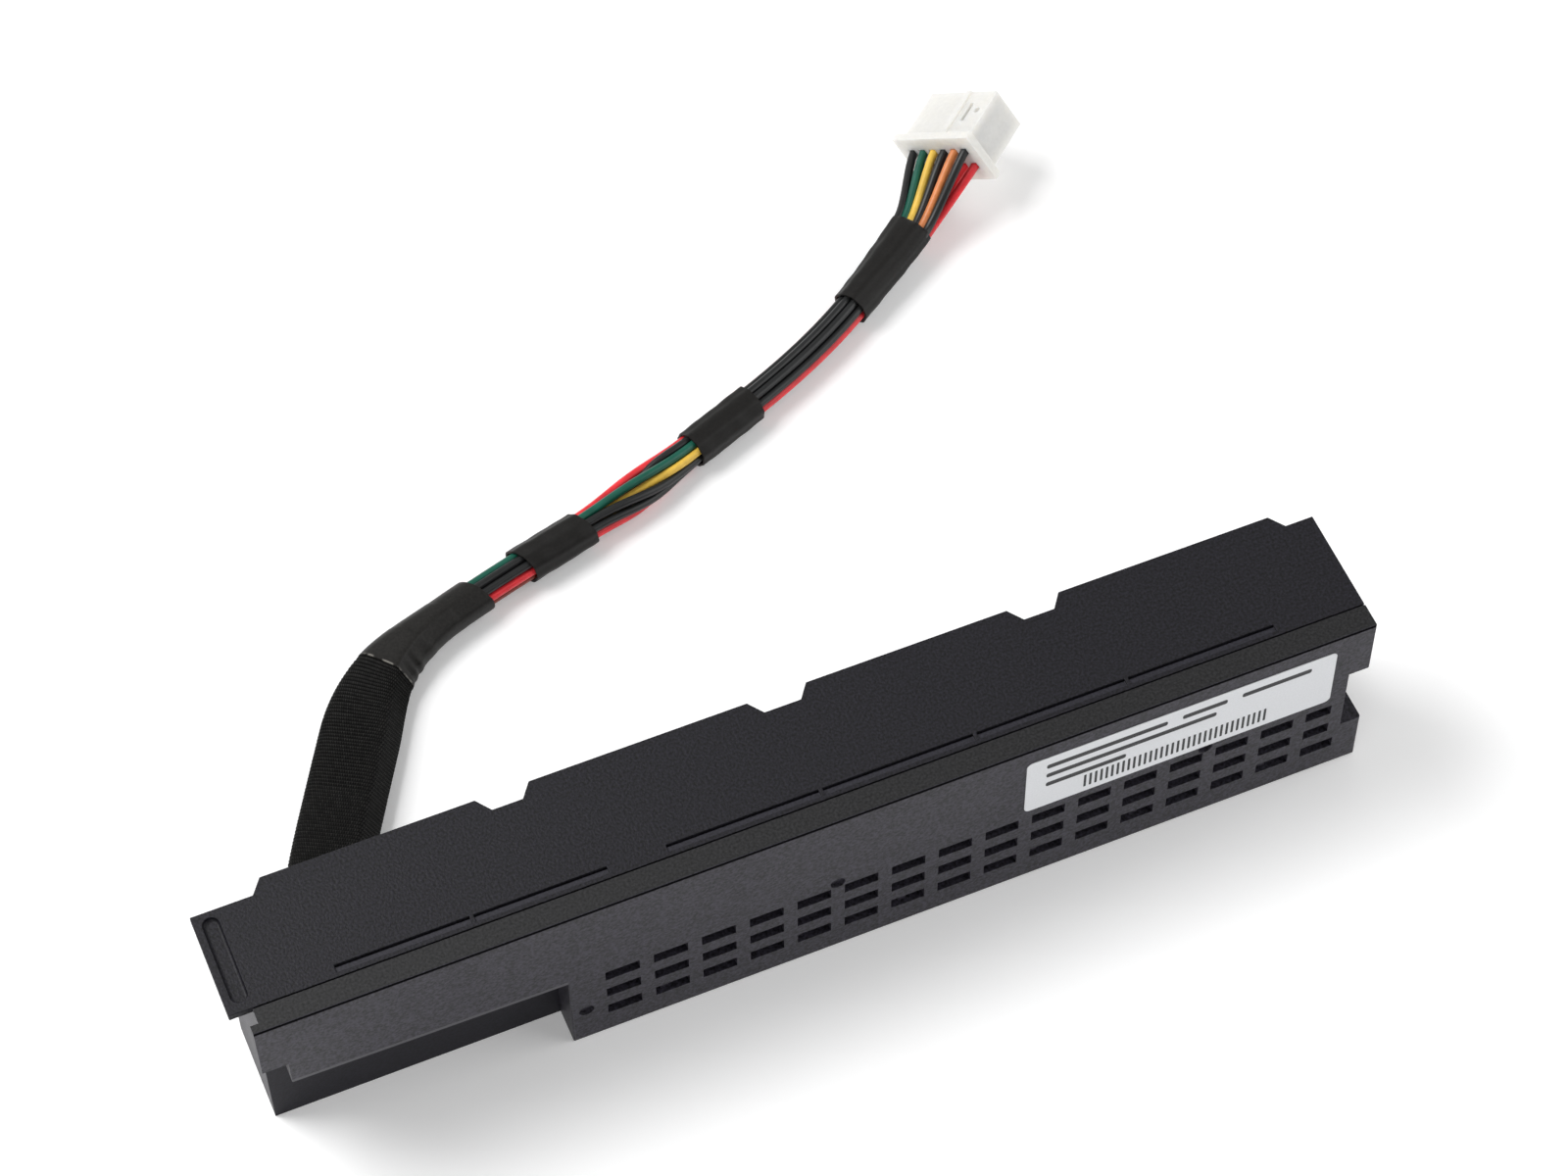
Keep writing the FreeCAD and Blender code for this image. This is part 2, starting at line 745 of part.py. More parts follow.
def make_strips():
    """The end strips: one short to the board, and one that comes back along the rear wall."""
    thick, half = size.strip_thickness, size.link_width / 2
    low, high = CELL_LOW - size.link_reach, CELL_HIGH + size.link_reach
    foot = BOARD_RIGHT - size.guide_grip * 2

    body = new_body("negative_strip")
    block(body, CELL_LEFT - thick, CELL_LEFT, CELL_MIDDLE - half, CELL_MIDDLE + half, low, high)
    start = foot - size.strip_width
    block(body, start, CELL_LEFT - thick, BOARD_BACK, BOARD_BACK + thick, STRIP_LOW, STRIP_HIGH)

    end = CELL_LEFT + size.cell_pitch * (CELL_COLUMNS - 1) + size.cell_length + size.cell_button
    rear = BACK_INNER - size.rim_gap
    start = foot - size.strip_width * 2
    body = new_body("positive_strip")
    block(body, end, end + thick, CELL_MIDDLE - half, CELL_MIDDLE + half, low, high)
    block(body, end, end + thick, CELL_MIDDLE + half, rear, STRIP_LOW, STRIP_HIGH)
    block(body, start, end, rear - thick, rear, STRIP_LOW, STRIP_HIGH)
    block(body, start, start + thick, BOARD_BACK, rear - thick, STRIP_LOW, STRIP_HIGH)


# Control board


def make_board():
    body = new_body("control_board")
    sketch = front_sketch(body, BOARD_FRONT)
    rectangle(sketch, BOARD_LEFT, BOARD_RIGHT, FLOOR, FLOOR + size.board_height)
    pad(body, sketch, size.board_thickness, backwards=True)


def on_board(label, left, low, length, height, depth):
    """A body on the board's rear face, from its lower left corner."""
    body = new_body(label)
    sketch = front_sketch(body, BOARD_BACK)
    rectangle(sketch, left, left + length, low, low + height)
    pad(body, sketch, depth, backwards=True)
    return body


def make_header():
    """The wire header, which the cable's bundle meets end on."""
    left = EXIT_ALONG - size.header_length / 2
    depth = EXIT_DEPTH - size.header_gap - BOARD_BACK
    on_board("board_header", left, HEADER_LOW, size.header_length, HEADER_HEIGHT, depth)


def make_inductor():
    body = new_body("power_inductor")
    side, cut = size.inductor_side, size.inductor_chamfer
    left = BOARD_LEFT + size.board_length / 2 - side / 2
    low = FLOOR + size.board_height / 2
    right, high = left + side, low + side
    sketch = front_sketch(body, BOARD_BACK)
    outline(sketch, [
        (left + cut, low), (right - cut, low), (right, low + cut), (right, high - cut),
        (right - cut, high), (left + cut, high), (left, high - cut), (left, low + cut),
    ])
    pad(body, sketch, size.inductor_depth, backwards=True)


def several(label, solids):
    """Equal parts of one kind, kept together as one sub-part."""
    group = doc.addObject("Part::Compound", label)
    group.Links = solids
    keep(group, label)


def make_board_parts():
    """The parts that switch, measure and smooth the current."""
    make_header()
    make_inductor()
    upper = FLOOR + size.board_height / 2
    margin = size.guide_grip * 2
    left = BOARD_LEFT + margin
    on_board("controller_chip", left, upper, size.chip_side, size.chip_side, size.chip_depth)
    on_board(
        "monitor_chip", left, upper + size.chip_side + margin, size.monitor_length, size.monitor_height,
        size.chip_depth,
    )
    low = HEADER_LOW + HEADER_HEIGHT + margin
    on_board("sense_resistor", left, low, size.resistor_length, size.resistor_height, size.resistor_depth)

    transistors = []
    for i in range(TRANSISTORS):
        part = doc.addObject("Part::Box", "Transistor")
        bind(part, "Length", size.transistor_side)
        bind(part, "Width", size.transistor_depth)
        bind(part, "Height", size.transistor_side)
        bind(part, "Placement.Base.x", left + size.resistor_length + margin + size.transistor_pitch * i)
        bind(part, "Placement.Base.y", BOARD_BACK)
        bind(part, "Placement.Base.z", low)
        transistors.append(part)
    several("switch_transistors", transistors)

    cans = []
    for i in range(BULK_CANS):
        can = doc.addObject("Part::Cylinder", "Can")
        bind(can, "Radius", size.bulk_diameter / 2)
        bind(can, "Height", size.bulk_length)
        along = EXIT_ALONG + size.header_length / 2 + size.bulk_pitch * (i + 1)
        can.Placement.Rotation = FreeCAD.Rotation(Vector(1, 0, 0), -90)
        bind(can, "Placement.Base.x", along - size.bulk_diameter / 2)
        bind(can, "Placement.Base.y", BOARD_BACK)
        bind(can, "Placement.Base.z", FLOOR + size.bulk_diameter / 2 + size.guide_gap)
        cans.append(can)
    several("bulk_capacitors", cans)


# Cable


def route_edges():
    """The cable's centre line: straight runs joined by arcs as large as the runs allow."""
    edges = []
    points = [EXIT + point for point in CABLE_ROUTE]
    last = points[0]
    for before, corner, after in zip(points, points[1:], points[2:]):
        back, ahead = (before - corner), (after - corner)
        trim = ARC_SHARE * min(back.Length, ahead.Length)
        half_turn = (math.pi - back.getAngle(ahead)) / 2
        radius = trim / math.tan(half_turn)
        print(f"cable turns {math.degrees(2 * half_turn):.1f} degrees on a radius of {radius:.1f} mm")
        back.normalize()
        ahead.normalize()
        middle = back + ahead
        middle.normalize()
        start, end = corner + back * trim, corner + ahead * trim
        top = corner + middle * (radius / math.cos(half_turn) - radius)
        edges.append(Part.LineSegment(last, start).toShape())
        edges.append(Part.Arc(start, top, end).toShape())
        last = end
    edges.append(Part.LineSegment(last, points[-1]).toShape())
    return edges


def stretch(edges, start, end):
    """The part of the centre line between two distances from its first end."""
    kept = []
    passed = 0.0
    for edge in edges:
        low, high = max(start - passed, 0.0), min(end - passed, edge.Length)
        if high - low > SHORT:
            scale = (edge.LastParameter - edge.FirstParameter) / edge.Length
            first = edge.FirstParameter
            kept.append(Part.Edge(edge.Curve, first + low * scale, first + high * scale))
        passed += edge.Length
    return Part.Wire(kept)


def obround_wire(place, across, up, width, thickness):
    """A closed wire with flat faces and round sides, set across two directions."""
    radius = thickness / 2
    reach = across * (width / 2 - radius)
    right, left = place + reach, place - reach
    return Part.Wire([
        Part.LineSegment(left + up * radius, right + up * radius).toShape(),
        Part.Arc(right + up * radius, right + across * radius, right - up * radius).toShape(),
        Part.LineSegment(right - up * radius, left - up * radius).toShape(),
        Part.Arc(left - up * radius, left - across * radius, left + up * radius).toShape(),
    ])


def first_end(path):
    """The place and direction of a path's first end."""
    first = path.OrderedEdges[0]
    return first.valueAt(first.FirstParameter), first.tangentAt(first.FirstParameter)


def tube(path, diameter):
    """A solid round tube along a path."""
    place, along = first_end(path)
    ring = Part.Face(Part.Wire(Part.Circle(place, along, diameter / 2).toShape()))
    return path.makePipe(ring)


def flat_band(path, width, thickness):
    """A solid flat band along a path that lies in one plane."""
    place, along = first_end(path)
    across = along.cross(Vector(0, 0, 1)).normalize()
    return path.makePipe(Part.Face(obround_wire(place, across, across.cross(along), width, thickness)))


def cable_piece(label, shape, area, path):
    """Keeps a piece of the cable, and prints its volume beside its section times its length."""
    print(f"{label}: {shape.Volume:.1f} mm3 swept, {area * path.Length:.1f} mm3 by section and length")
    piece = doc.addObject("Part::Feature", label)
    piece.Shape = shape
    keep(piece, label)


def disc(diameter):
    return math.pi * diameter**2 / 4


def sleeve(label, path, diameter, bore):
    """A round sleeve over the bundle."""
    cable_piece(label, tube(path, diameter).cut(tube(path, bore)), disc(diameter) - disc(bore), path)


def make_cable(edges):
    """The bundle of wires, the flat woven sleeve, the tape after it and the three shrunk sleeves."""
    bundle = size.bundle_diameter.value
    bore = SLEEVE_BORE.value
    whole = stretch(edges, 0.0, sum(edge.Length for edge in edges))
    cable_piece("wire_bundle", tube(whole, bundle), disc(bundle), whole)

    path = stretch(edges, size.weave_start.value, size.weave_end.value)
    width, thickness = WEAVE_WIDTH.value, WEAVE_THICKNESS.value
    area = disc(thickness) + (width - thickness) * thickness - disc(bore)
    cable_piece("woven_sleeve", flat_band(path, width, thickness).cut(tube(path, bore)), area, path)

    path = stretch(edges, size.weave_end.value, size.tape_end.value)
    sleeve("tape_sleeve", path, bore + size.tape_wall.value * 2, bore)
    for number in range(1, SHRINKS + 1):
        start = getattr(size, f"shrink_{number}_start").value
        end = getattr(size, f"shrink_{number}_end").value
        path = stretch(edges, start, end)
        sleeve(f"heat_shrink_{number}", path, bore + size.shrink_wall.value * 2, bore)


# Plug


def plug_turn():
    return FreeCAD.Rotation(size.plug_turn.value, -size.plug_rise.value, size.plug_roll.value)


def place_plug(piece):
    """Lays a piece of the plug, made along X from the flange, where the plug lies."""
    piece.Placement = FreeCAD.Placement(PLUG_PLACE, plug_turn())


def cavity_centres():
    """The middles of the contacts, across and up."""
    for row in (-1, 1):
        for i in range(CONTACTS_A_ROW):
            yield size.cavity_pitch * i - ROW_LENGTH / 2, size.cavity_rows_apart * row / 2


def make_housing():
    """The plug's housing: body, flange round the wire side, key, latch window and two rows of cavities."""
    body = new_body("plug_housing")
    half_width = (ROW_LENGTH + size.cavity_side) / 2 + size.plug_side_wall
    half_thick = (size.cavity_rows_apart + size.cavity_side) / 2 + size.plug_face_wall
    block(body, -size.flange_length, size.plug_length, -half_width, half_width, -half_thick, half_thick)
    lip_width, lip_thick = half_width + size.flange_lip, half_thick + size.flange_lip
    block(body, -size.flange_length, 0, -lip_width, lip_width, -lip_thick, lip_thick)
    round_edges(
        body,
        lambda edge: near(edge.CenterOfMass.x, 0)
        and (near(abs(edge.CenterOfMass.y), lip_width) or near(abs(edge.CenterOfMass.z), lip_thick)),
        size.flange_round,
    )
    key_right, key_left = -size.key_offset - size.key_width / 2, -size.key_offset + size.key_width / 2
    block(body, -size.flange_length, size.plug_length, key_right, key_left, 0, half_thick + size.key_height)

    half_window = size.window_width / 2
    window_end = size.window_start + size.window_length
    sketch = plan_sketch(body, half_thick)
    right, left = -size.window_offset - half_window, -size.window_offset + half_window
    rectangle(sketch, size.window_start, window_end, right, left)
    circle(sketch, size.pin_mark_along, -size.pin_mark_offset, size.pin_mark_diameter)
    pocket(body, sketch, size.window_depth)

    cuts = (
        (size.cavity_side / 2, size.plug_length, size.plug_length - size.cavity_floor),
        (size.wire_hole_side / 2, size.cavity_floor, size.flange_length + size.cavity_floor),
    )
    for side, mouth, depth in cuts:
        sketch = section_sketch(body, mouth)
        for across, up in cavity_centres():
            rectangle(sketch, across - side, across + side, up - side, up + side)
        pocket(body, sketch, depth)
    place_plug(body)


def make_terminals():
    """The crimped terminals, seated on the floors of their cavities."""
    side = size.cavity_side.value - size.terminal_gap.value * 2
    shapes = []
    for across, up in cavity_centres():
        corner = Vector(size.cavity_floor.value, across.value - side / 2, up.value - side / 2)
        shapes.append(Part.makeBox(size.terminal_length.value, side, side, corner))
    piece = doc.addObject("Part::Feature", "plug_terminals")
    piece.Shape = Part.makeCompound(shapes)
    place_plug(piece)
    keep(piece, "plug_terminals")


def make_fan(edges):
    """The spread of single wires from the end of the bundle to the plug's flange."""
    turn = plug_turn()
    across, up = turn.multVec(Vector(0, 1, 0)), turn.multVec(Vector(0, 0, 1))
    face = PLUG_PLACE + turn.multVec(Vector(-size.flange_length.value, 0, 0))
    last = edges[-1]
    end = last.valueAt(last.LastParameter)
    along = last.tangentAt(last.LastParameter)
    near_up = across.cross(along).normalize()
    near_across = along.cross(near_up).normalize()
    bundle = size.bundle_diameter.value
    width = ROW_LENGTH + size.wire_hole_side
    thickness = size.cavity_rows_apart + size.wire_hole_side
    rings = [
        obround_wire(end, near_across, -near_up, bundle + size.sleeve_gap.value, bundle),
        obround_wire(face, across, up, width.value, thickness.value),
    ]
    piece = doc.addObject("Part::Feature", "wire_fan")
    piece.Shape = Part.makeLoft(rings, True, True)
    keep(piece, "wire_fan")


# Assembly

make_case()
make_lid()
make_label()
for cell_column in range(CELL_COLUMNS):
    for cell_row, cell_height in enumerate((CELL_LOW, CELL_HIGH)):
        make_cell(cell_column * CELL_ROWS + cell_row + 1, cell_column, cell_height)
    make_spacer(cell_column)
for cell_column in range(CELL_COLUMNS - 1):
    make_link(cell_column)
make_pad()
make_strips()
make_board()
make_board_parts()
centre_line = route_edges()
make_cable(centre_line)
make_fan(centre_line)
make_housing()
make_terminals()
doc.recompute()

for item in doc.Objects:
    if "Invalid" in item.State or "Error" in item.State:
        raise RuntimeError(f"{item.Name} failed: {item.State}")
for piece in pieces:
    if piece.Shape.isNull() or not piece.Shape.isValid():
        raise RuntimeError(f"{piece.Label} has no valid shape")

os.makedirs("parts", exist_ok=True)
for piece in pieces:
    piece.Shape.exportStep(f"parts/{piece.Label}.step")
    print(f"{piece.Label}: {piece.Shape.Volume:.1f} mm3, {len(piece.Shape.Solids)} solid")
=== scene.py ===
import math
from bisect import bisect_left
from typing import NamedTuple

import bpy
from mathutils import Euler, Matrix, Vector


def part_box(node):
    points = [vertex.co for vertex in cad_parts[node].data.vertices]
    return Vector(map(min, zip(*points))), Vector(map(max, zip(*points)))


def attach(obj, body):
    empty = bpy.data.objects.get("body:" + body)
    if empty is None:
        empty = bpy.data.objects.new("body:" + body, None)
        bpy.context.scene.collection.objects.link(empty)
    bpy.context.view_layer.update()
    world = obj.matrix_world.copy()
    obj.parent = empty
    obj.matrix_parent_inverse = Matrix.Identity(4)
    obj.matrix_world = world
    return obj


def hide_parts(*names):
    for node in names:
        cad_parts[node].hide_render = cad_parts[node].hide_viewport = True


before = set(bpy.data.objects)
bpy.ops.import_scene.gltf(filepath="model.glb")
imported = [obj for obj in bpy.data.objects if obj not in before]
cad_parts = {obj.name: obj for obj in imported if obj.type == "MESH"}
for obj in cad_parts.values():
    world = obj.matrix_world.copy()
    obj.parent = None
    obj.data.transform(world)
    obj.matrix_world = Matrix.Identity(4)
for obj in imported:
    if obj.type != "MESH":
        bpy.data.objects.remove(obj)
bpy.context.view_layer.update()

# Lengths are in metres
MM = 0.001
WHITE = (1, 1, 1, 1)
BLACK = (0, 0, 0, 1)

# The camera stands where the photograph was taken from
CAMERA_PLACE = Vector((-0.1525, -0.3737, 0.6946))
CAMERA_VIEW = Vector((0.2104, 0.5199, -0.8279))
CAMERA_RIGHT = Vector((0.9223, -0.3864, -0.0082))
CAMERA_LENS = 98.85
CAMERA_SENSOR = 36.0
CAMERA_NEAR = 0.01

# Brightness of the studio in front of the case and behind it
WORLD_FRONT = 0.05
WORLD_BACK = 0.5

# Soft lamps: name, place, size and power
LAMPS = (
    ("key", Vector((-0.50, 0.42, 0.85)), 0.6, 9.5),
    ("fill", Vector((-0.70, -0.95, 0.45)), 0.8, 5.0),
    ("side", Vector((0.72, -0.22, 0.48)), 0.8, 4.0),
)

# Floor, which glows a little, like a light table
FLOOR_SIZE = 6.0
FLOOR_DROP = 0.02 * MM
FLOOR_COLOUR = (0.92, 0.92, 0.92, 1)
FLOOR_ROUGHNESS = 0.8
FLOOR_GLOW = 0.18

# Route of the cable, measured from where its bundle meets the header on the board
CABLE_START = Vector((-86.5, 3.0, 6.25)) * MM
CABLE_ROUTE = [
    Vector((0.0, 0.0, 0.0)) * MM,
    Vector((0.0, 15.0, -0.42)) * MM,
    Vector((5.8, 28.5, -0.81)) * MM,
    Vector((17.15, 47.85, -1.36)) * MM,
    Vector((28.2, 66.3, -1.88)) * MM,
    Vector((38.9, 73.8, -2.15)) * MM,
    Vector((58.5, 80.1, -2.15)) * MM,
    Vector((84.3, 86.5, -2.15)) * MM,
    Vector((109.5, 96.1, -2.15)) * MM,
    Vector((134.95, 106.5, -2.15)) * MM,
    Vector((154.0, 118.0, -1.9)) * MM,
    Vector((167.3, 127.4, 0.0)) * MM,
]
ROUTE_STEPS = 40

# Distances along the cable at which its sleeves start and end
WEAVE = (6.0 * MM, 81.0 * MM)
TAPE = (77.4 * MM, 101.7 * MM)
SHRINKS = ((112.8 * MM, 127.4 * MM), (155.7 * MM, 172.2 * MM), (203.2 * MM, 226.8 * MM))

# Bundle: nine wires round a core of three, which bulge on the loose stretch between two sleeves
WIRE_RADIUS = 0.84 * MM
WIRE_STEP = 1.2 * MM
WIRE_ROUNDNESS = 3
OUTER_RING = 2.455 * MM
OUTER_PLACES = 9
CORE_RING = 0.97 * MM
CORE_PLACES = 3
CORE_TURN = math.radians(-30)
LOOSE_BULGE = 0.28

# Woven sleeve: flat and creased, spread outside the case, and turned round under the tape
WEAVE_HALF = (6.75 * MM, 3.5 * MM)
WEAVE_SPREAD = 0.75 * MM
SPREADING = (10.0 * MM, 30.0 * MM)
WEAVE_PITCH = 0.78 * MM
WEAVE_RIB = 0.17 * MM
WEAVE_CREASE = 4.6 * MM
WEAVE_SLOPE = 1.7
WEAVE_CORNER = 0.42
ROUND_RADIUS = 3.95 * MM
ROUNDING = (61.0 * MM, 95.0 * MM)
ROUND_CREASE = 0.3
ROUND_SLOPE = 0.85

# Tape: how loose it starts, its windings, and how far its end is cut aslant
TAPE_SLACK = 0.2 * MM
TAPE_LAYER = 0.05 * MM
TAPE_LAP = 8 * MM
TAPE_LEAN = 1.75 * MM

# Folds of the tape: where they lie along and round it, and how they follow each other, in radians
# for each millimetre
FOLD_DEPTH = 0.22 * MM
FOLD_MIDDLE = 0.2
FOLD_SPAN = 0.16
FOLD_SIDE = 0.2
FOLD_FADE = 3
FOLD_RATE = 1.9
FOLD_DRIFT = 1.2
FOLD_DRIFT_RATE = 0.7

# Shrunk tubes: ridges over the wires and waves along them, in radians for each millimetre, and how
# the last one flattens to its mouth
SHRINK_RADIUS = 3.92 * MM
SHRINK_LEAN = 1.1 * MM
RIDGE_HEIGHT = 0.09 * MM
RIDGE_TWIST = 0.06
WAVE_HEIGHT = 0.06 * MM
WAVE_RATE = 1.1
WAVE_SIDES = 2
WAVE_SWELL_RATE = 0.31
MOUTH_WIDER = 0.17
MOUTH_LOWER = 0.22

# How the sleeves are made up
SLEEVE_WALL = 0.45 * MM
RIB_STEPS = 4
WEAVE_STEP = WEAVE_PITCH / RIB_STEPS
TAPE_STEP = 0.35 * MM
SHRINK_STEP = 0.6 * MM
WEAVE_SIDES = 56
SLEEVE_SIDES = 72
FEWEST_STEPS = 2
OUTLINE_STEPS = 20000
SLEEVE_SMOOTHING = math.radians(45)

# Plug at the cable's far end, with its two rows of contacts
PLUG_PLACE = CABLE_START + Vector((180.9, 139.2, 4.95)) * MM
PLUG_TURN = Euler((math.radians(-34.0), math.radians(-5.0), math.radians(38.5)), "XYZ")
FLANGE_LENGTH = 2.3 * MM
CONTACT_PITCH = 2.9 * MM
ROWS_APART = 4.2 * MM
MIDDLE_COLUMN = 2.5
MIDDLE_ROW = 0.5

# Wires between the last sleeve's mouth and the plug: how they sit in the mouth, how far they lie in
# the mouth and the flange, and how they bend
MOUTH_PITCH = 1.36 * MM
MOUTH_ROWS_APART = 1.7 * MM
FAN_WIRE_RADIUS = 0.92 * MM
FAN_IN_MOUTH = 1.0 * MM
FAN_IN_FLANGE = 1.0 * MM
FAN_BEND = 0.22
FAN_STEPS = 16

# Each wire: its colour, its place round the bundle up to the loose stretch, at the end of that and
# before the last sleeve, and its row and column in the plug. Places 0 to 8 go round the outside,
# from the near side over the top, and 9 to 11 are the core.
WIRES = (
    ("red", (0, 7, 0), (0, 5)),
    ("black", (1, 8, 1), (1, 5)),
    ("black", (2, 0, 2), (1, 3)),
    ("green", (3, 2, 11), (1, 1)),
    ("red", (4, 4, 5), (0, 4)),
    ("black", (5, 5, 4), (1, 0)),
    ("orange", (6, 11, 6), (1, 4)),
    ("black", (7, 6, 7), (0, 0)),
    ("brown", (8, 9, 9), (0, 2)),
    ("yellow", (10, 1, 10), (1, 2)),
    ("black", (11, 3, 3), (0, 1)),
    ("black", (9, 10, 8), (0, 3)),
)
# How far the whole bundle is turned before the first shrunk tube, at both ends of the loose stretch
# and before the last tube
TURNS = (math.radians(11), math.radians(-10), math.radians(-4), math.radians(-10))
# Share of the loose stretch after which wires come out of the core
COME_OUT = 0.4

# Slots in the lid: how far left they reach, their near and far sides, the depths they lie between,
# and the floor and channel they are shaped to
SLOTS_LEFT = -92.0 * MM
SLOT_FRONT = -8.5 * MM
SLOT_BACK = -6.9 * MM
SLOT_DEPTHS = (0.1 * MM, 1.1 * MM)
SLOT_FLOOR = 0.5 * MM
SLOT_CHANNEL = 0.3 * MM
SLOT_FLOOR_MARGIN = 0.1 * MM
SLOT_CHANNEL_MARGIN = 0.05 * MM

# Front of the case: the strip beside the lid, the recess, and its lip from end to end, measured
# from the case's lower left corner
STRIP_DEPTH = 5.0 * MM
RECESS_DEPTH = 7.0 * MM
RECESS_LENGTH = 56.5 * MM
LIP_LEFT = (4.8 * MM, 23.0 * MM)
LIP_RIGHT = (RECESS_LENGTH, 21.6 * MM)
# Width of the pale band painted along the lip as a highlight
LIP_HIGHLIGHT_BAND = 0.8 * MM

# How squarely a face looks one way, from its normal
SQUARE = 0.98
NEARLY_SQUARE = 0.9
HALF_TURNED = 0.5
JUST_TURNED = 0.1

# Skins and edges of the moulded pieces
SKIN_GAP = 0.001 * MM
FLAT_ANGLE = math.radians(0.5)
SHARP_ANGLE = math.radians(40)
SMOOTHING = math.radians(50)
EDGE_SEGMENTS = 2
CASE_EDGE = 0.3 * MM
LID_EDGE = 0.2 * MM
PLUG_EDGE = 0.25 * MM
LABEL_EDGE = 0.03 * MM

# Plain lines on the label: left end and middle, from the label's upper left corner, and length
PRINT_LINES = (
    (4.0 * MM, 3.0 * MM, 24.0 * MM),
    (31.0 * MM, 3.0 * MM, 9.0 * MM),
    (43.0 * MM, 3.0 * MM, 14.0 * MM),
    (4.0 * MM, 6.0 * MM, 34.0 * MM),
    (4.0 * MM, 9.0 * MM, 16.0 * MM),
)
PRINT_LINE_HEIGHT = 1.3 * MM
PRINT_LAYER = 0.02 * MM
PRINT_CORNER = 0.3
BAR_COUNT = 34
BAR_SIZE = (0.5 * MM, 4.0 * MM)
BAR_STEP = 1.1 * MM
BARS_LEFT = 12.0 * MM
BARS_MIDDLE = 12.6 * MM


class Finish(NamedTuple):
    """A grained finish, with the size and depth of its grain and how far that varies its tone."""

    colour: tuple
    roughness: float
    grain: float
    depth: float
    variation: float
    gloss: float = 0.5
    metal: float = 0.0


FINISHES = {
    "case_grey": Finish((0.0210, 0.0192, 0.0270, 1), 0.5, 0.55 * MM, 0.08 * MM, 0.85, 0.35),
    # Darker copy of the case's colour on its top strip, as painted shade
    "strip_painted_shade": Finish((0.0110, 0.0108, 0.0116, 1), 0.54, 0.5 * MM, 0.08 * MM, 0.8, 0.34),
    # Near black on the rounded edge in front of the strip, as a painted shade line
    "edge_painted_shade": Finish((0.0020, 0.0020, 0.0024, 1), 0.7, 0.5 * MM, 0.02 * MM, 0.4, 0.04),
    # Darker copy of the case's colour on the recess's face, as painted shade
    "recess_painted_shade": Finish((0.0076, 0.0070, 0.0112, 1), 0.55, 0.5 * MM, 0.02 * MM, 0.4, 0.2),
    "lid_black": Finish((0.0073, 0.0068, 0.0102, 1), 0.54, 0.5 * MM, 0.16 * MM, 0.9, 0.29),
    # Lighter copy of the lid's colour on the slot floors, as painted light
    "slot_painted_light": Finish((0.0200, 0.0190, 0.0262, 1), 0.5, 0.5 * MM, 0.02 * MM, 0.4, 0.34),
    "shrink_black": Finish((0.0084, 0.0077, 0.0070, 1), 0.52, 0.5 * MM, 0.02 * MM, 0.2, 0.23),
    "natural_nylon": Finish((0.765, 0.752, 0.715, 1), 0.4, 0.9 * MM, 0.01 * MM, 0.025),
    "label_white": Finish((0.685, 0.695, 0.715, 1), 0.6, 0.4 * MM, 0.004 * MM, 0.03),
    "print_black": Finish((0.02, 0.02, 0.022, 1), 0.6, 0.3 * MM, 0.002 * MM, 0.3),
    "cell_film": Finish((0.012, 0.020, 0.050, 1), 0.35, 0.6 * MM, 0.004 * MM, 0.15),
    "spacer_black": Finish((0.02, 0.02, 0.022, 1), 0.55, 0.4 * MM, 0.04 * MM, 0.3),
    "foam_grey": Finish((0.03, 0.03, 0.03, 1), 0.9, 0.7 * MM, 0.2 * MM, 0.4, 0.2),
    "nickel_strip": Finish((0.55, 0.53, 0.49, 1), 0.33, 0.5 * MM, 0.006 * MM, 0.06, 0.5, 1.0),
    "solder_mask": Finish((0.010, 0.070, 0.028, 1), 0.32, 0.8 * MM, 0.01 * MM, 0.2),
    "chip_black": Finish((0.014, 0.014, 0.015, 1), 0.5, 0.3 * MM, 0.02 * MM, 0.3),
    "ferrite_grey": Finish((0.07, 0.07, 0.072, 1), 0.6, 0.3 * MM, 0.03 * MM, 0.25),
    "resistor_grey": Finish((0.06, 0.06, 0.066, 1), 0.45, 0.3 * MM, 0.01 * MM, 0.2),
    "can_bright": Finish((0.70, 0.70, 0.71, 1), 0.3, 0.4 * MM, 0.006 * MM, 0.05, 0.5, 1.0),
    "tinned_brass": Finish((0.66, 0.58, 0.40, 1), 0.3, 0.4 * MM, 0.006 * MM, 0.08, 0.5, 1.0),
    "header_nylon": Finish((0.78, 0.76, 0.70, 1), 0.42, 0.8 * MM, 0.01 * MM, 0.03),
}

# Finishes of the pieces inside the case and the plug, which keep their own form, by how the names
# of the pieces start
INSIDE = {
    "cell_film": ("capacitor_cell",),
    "spacer_black": ("cell_spacer",),
    "foam_grey": ("lid_pad",),
    "nickel_strip": ("cell_link", "negative_strip", "positive_strip"),
    "solder_mask": ("control_board",),
    "header_nylon": ("board_header",),
    "ferrite_grey": ("power_inductor",),
    "chip_black": ("controller_chip", "monitor_chip", "switch_transistors"),
    "resistor_grey": ("sense_resistor",),
    "can_bright": ("bulk_capacitors",),
    "tinned_brass": ("plug_terminals",),
}

# What all the grained finishes share
GRAIN_DETAIL = 3.0
GRAIN_RANGE = (0.32, 0.68)
GRAIN_STRENGTH = 0.6
CLOUD_SPAN = 40
CLOUD_DETAIL = 2.0
CLOUD_GLOSS = 0.06

# Painted highlight along the recess's lip
LIP_HIGHLIGHT_COLOUR = (0.060, 0.058, 0.066, 1)

# Light in the plug's nylon
NYLON_SCATTER = 0.8
NYLON_REACH = 3.5 * MM
NYLON_TINT = (1.0, 0.95, 0.85)

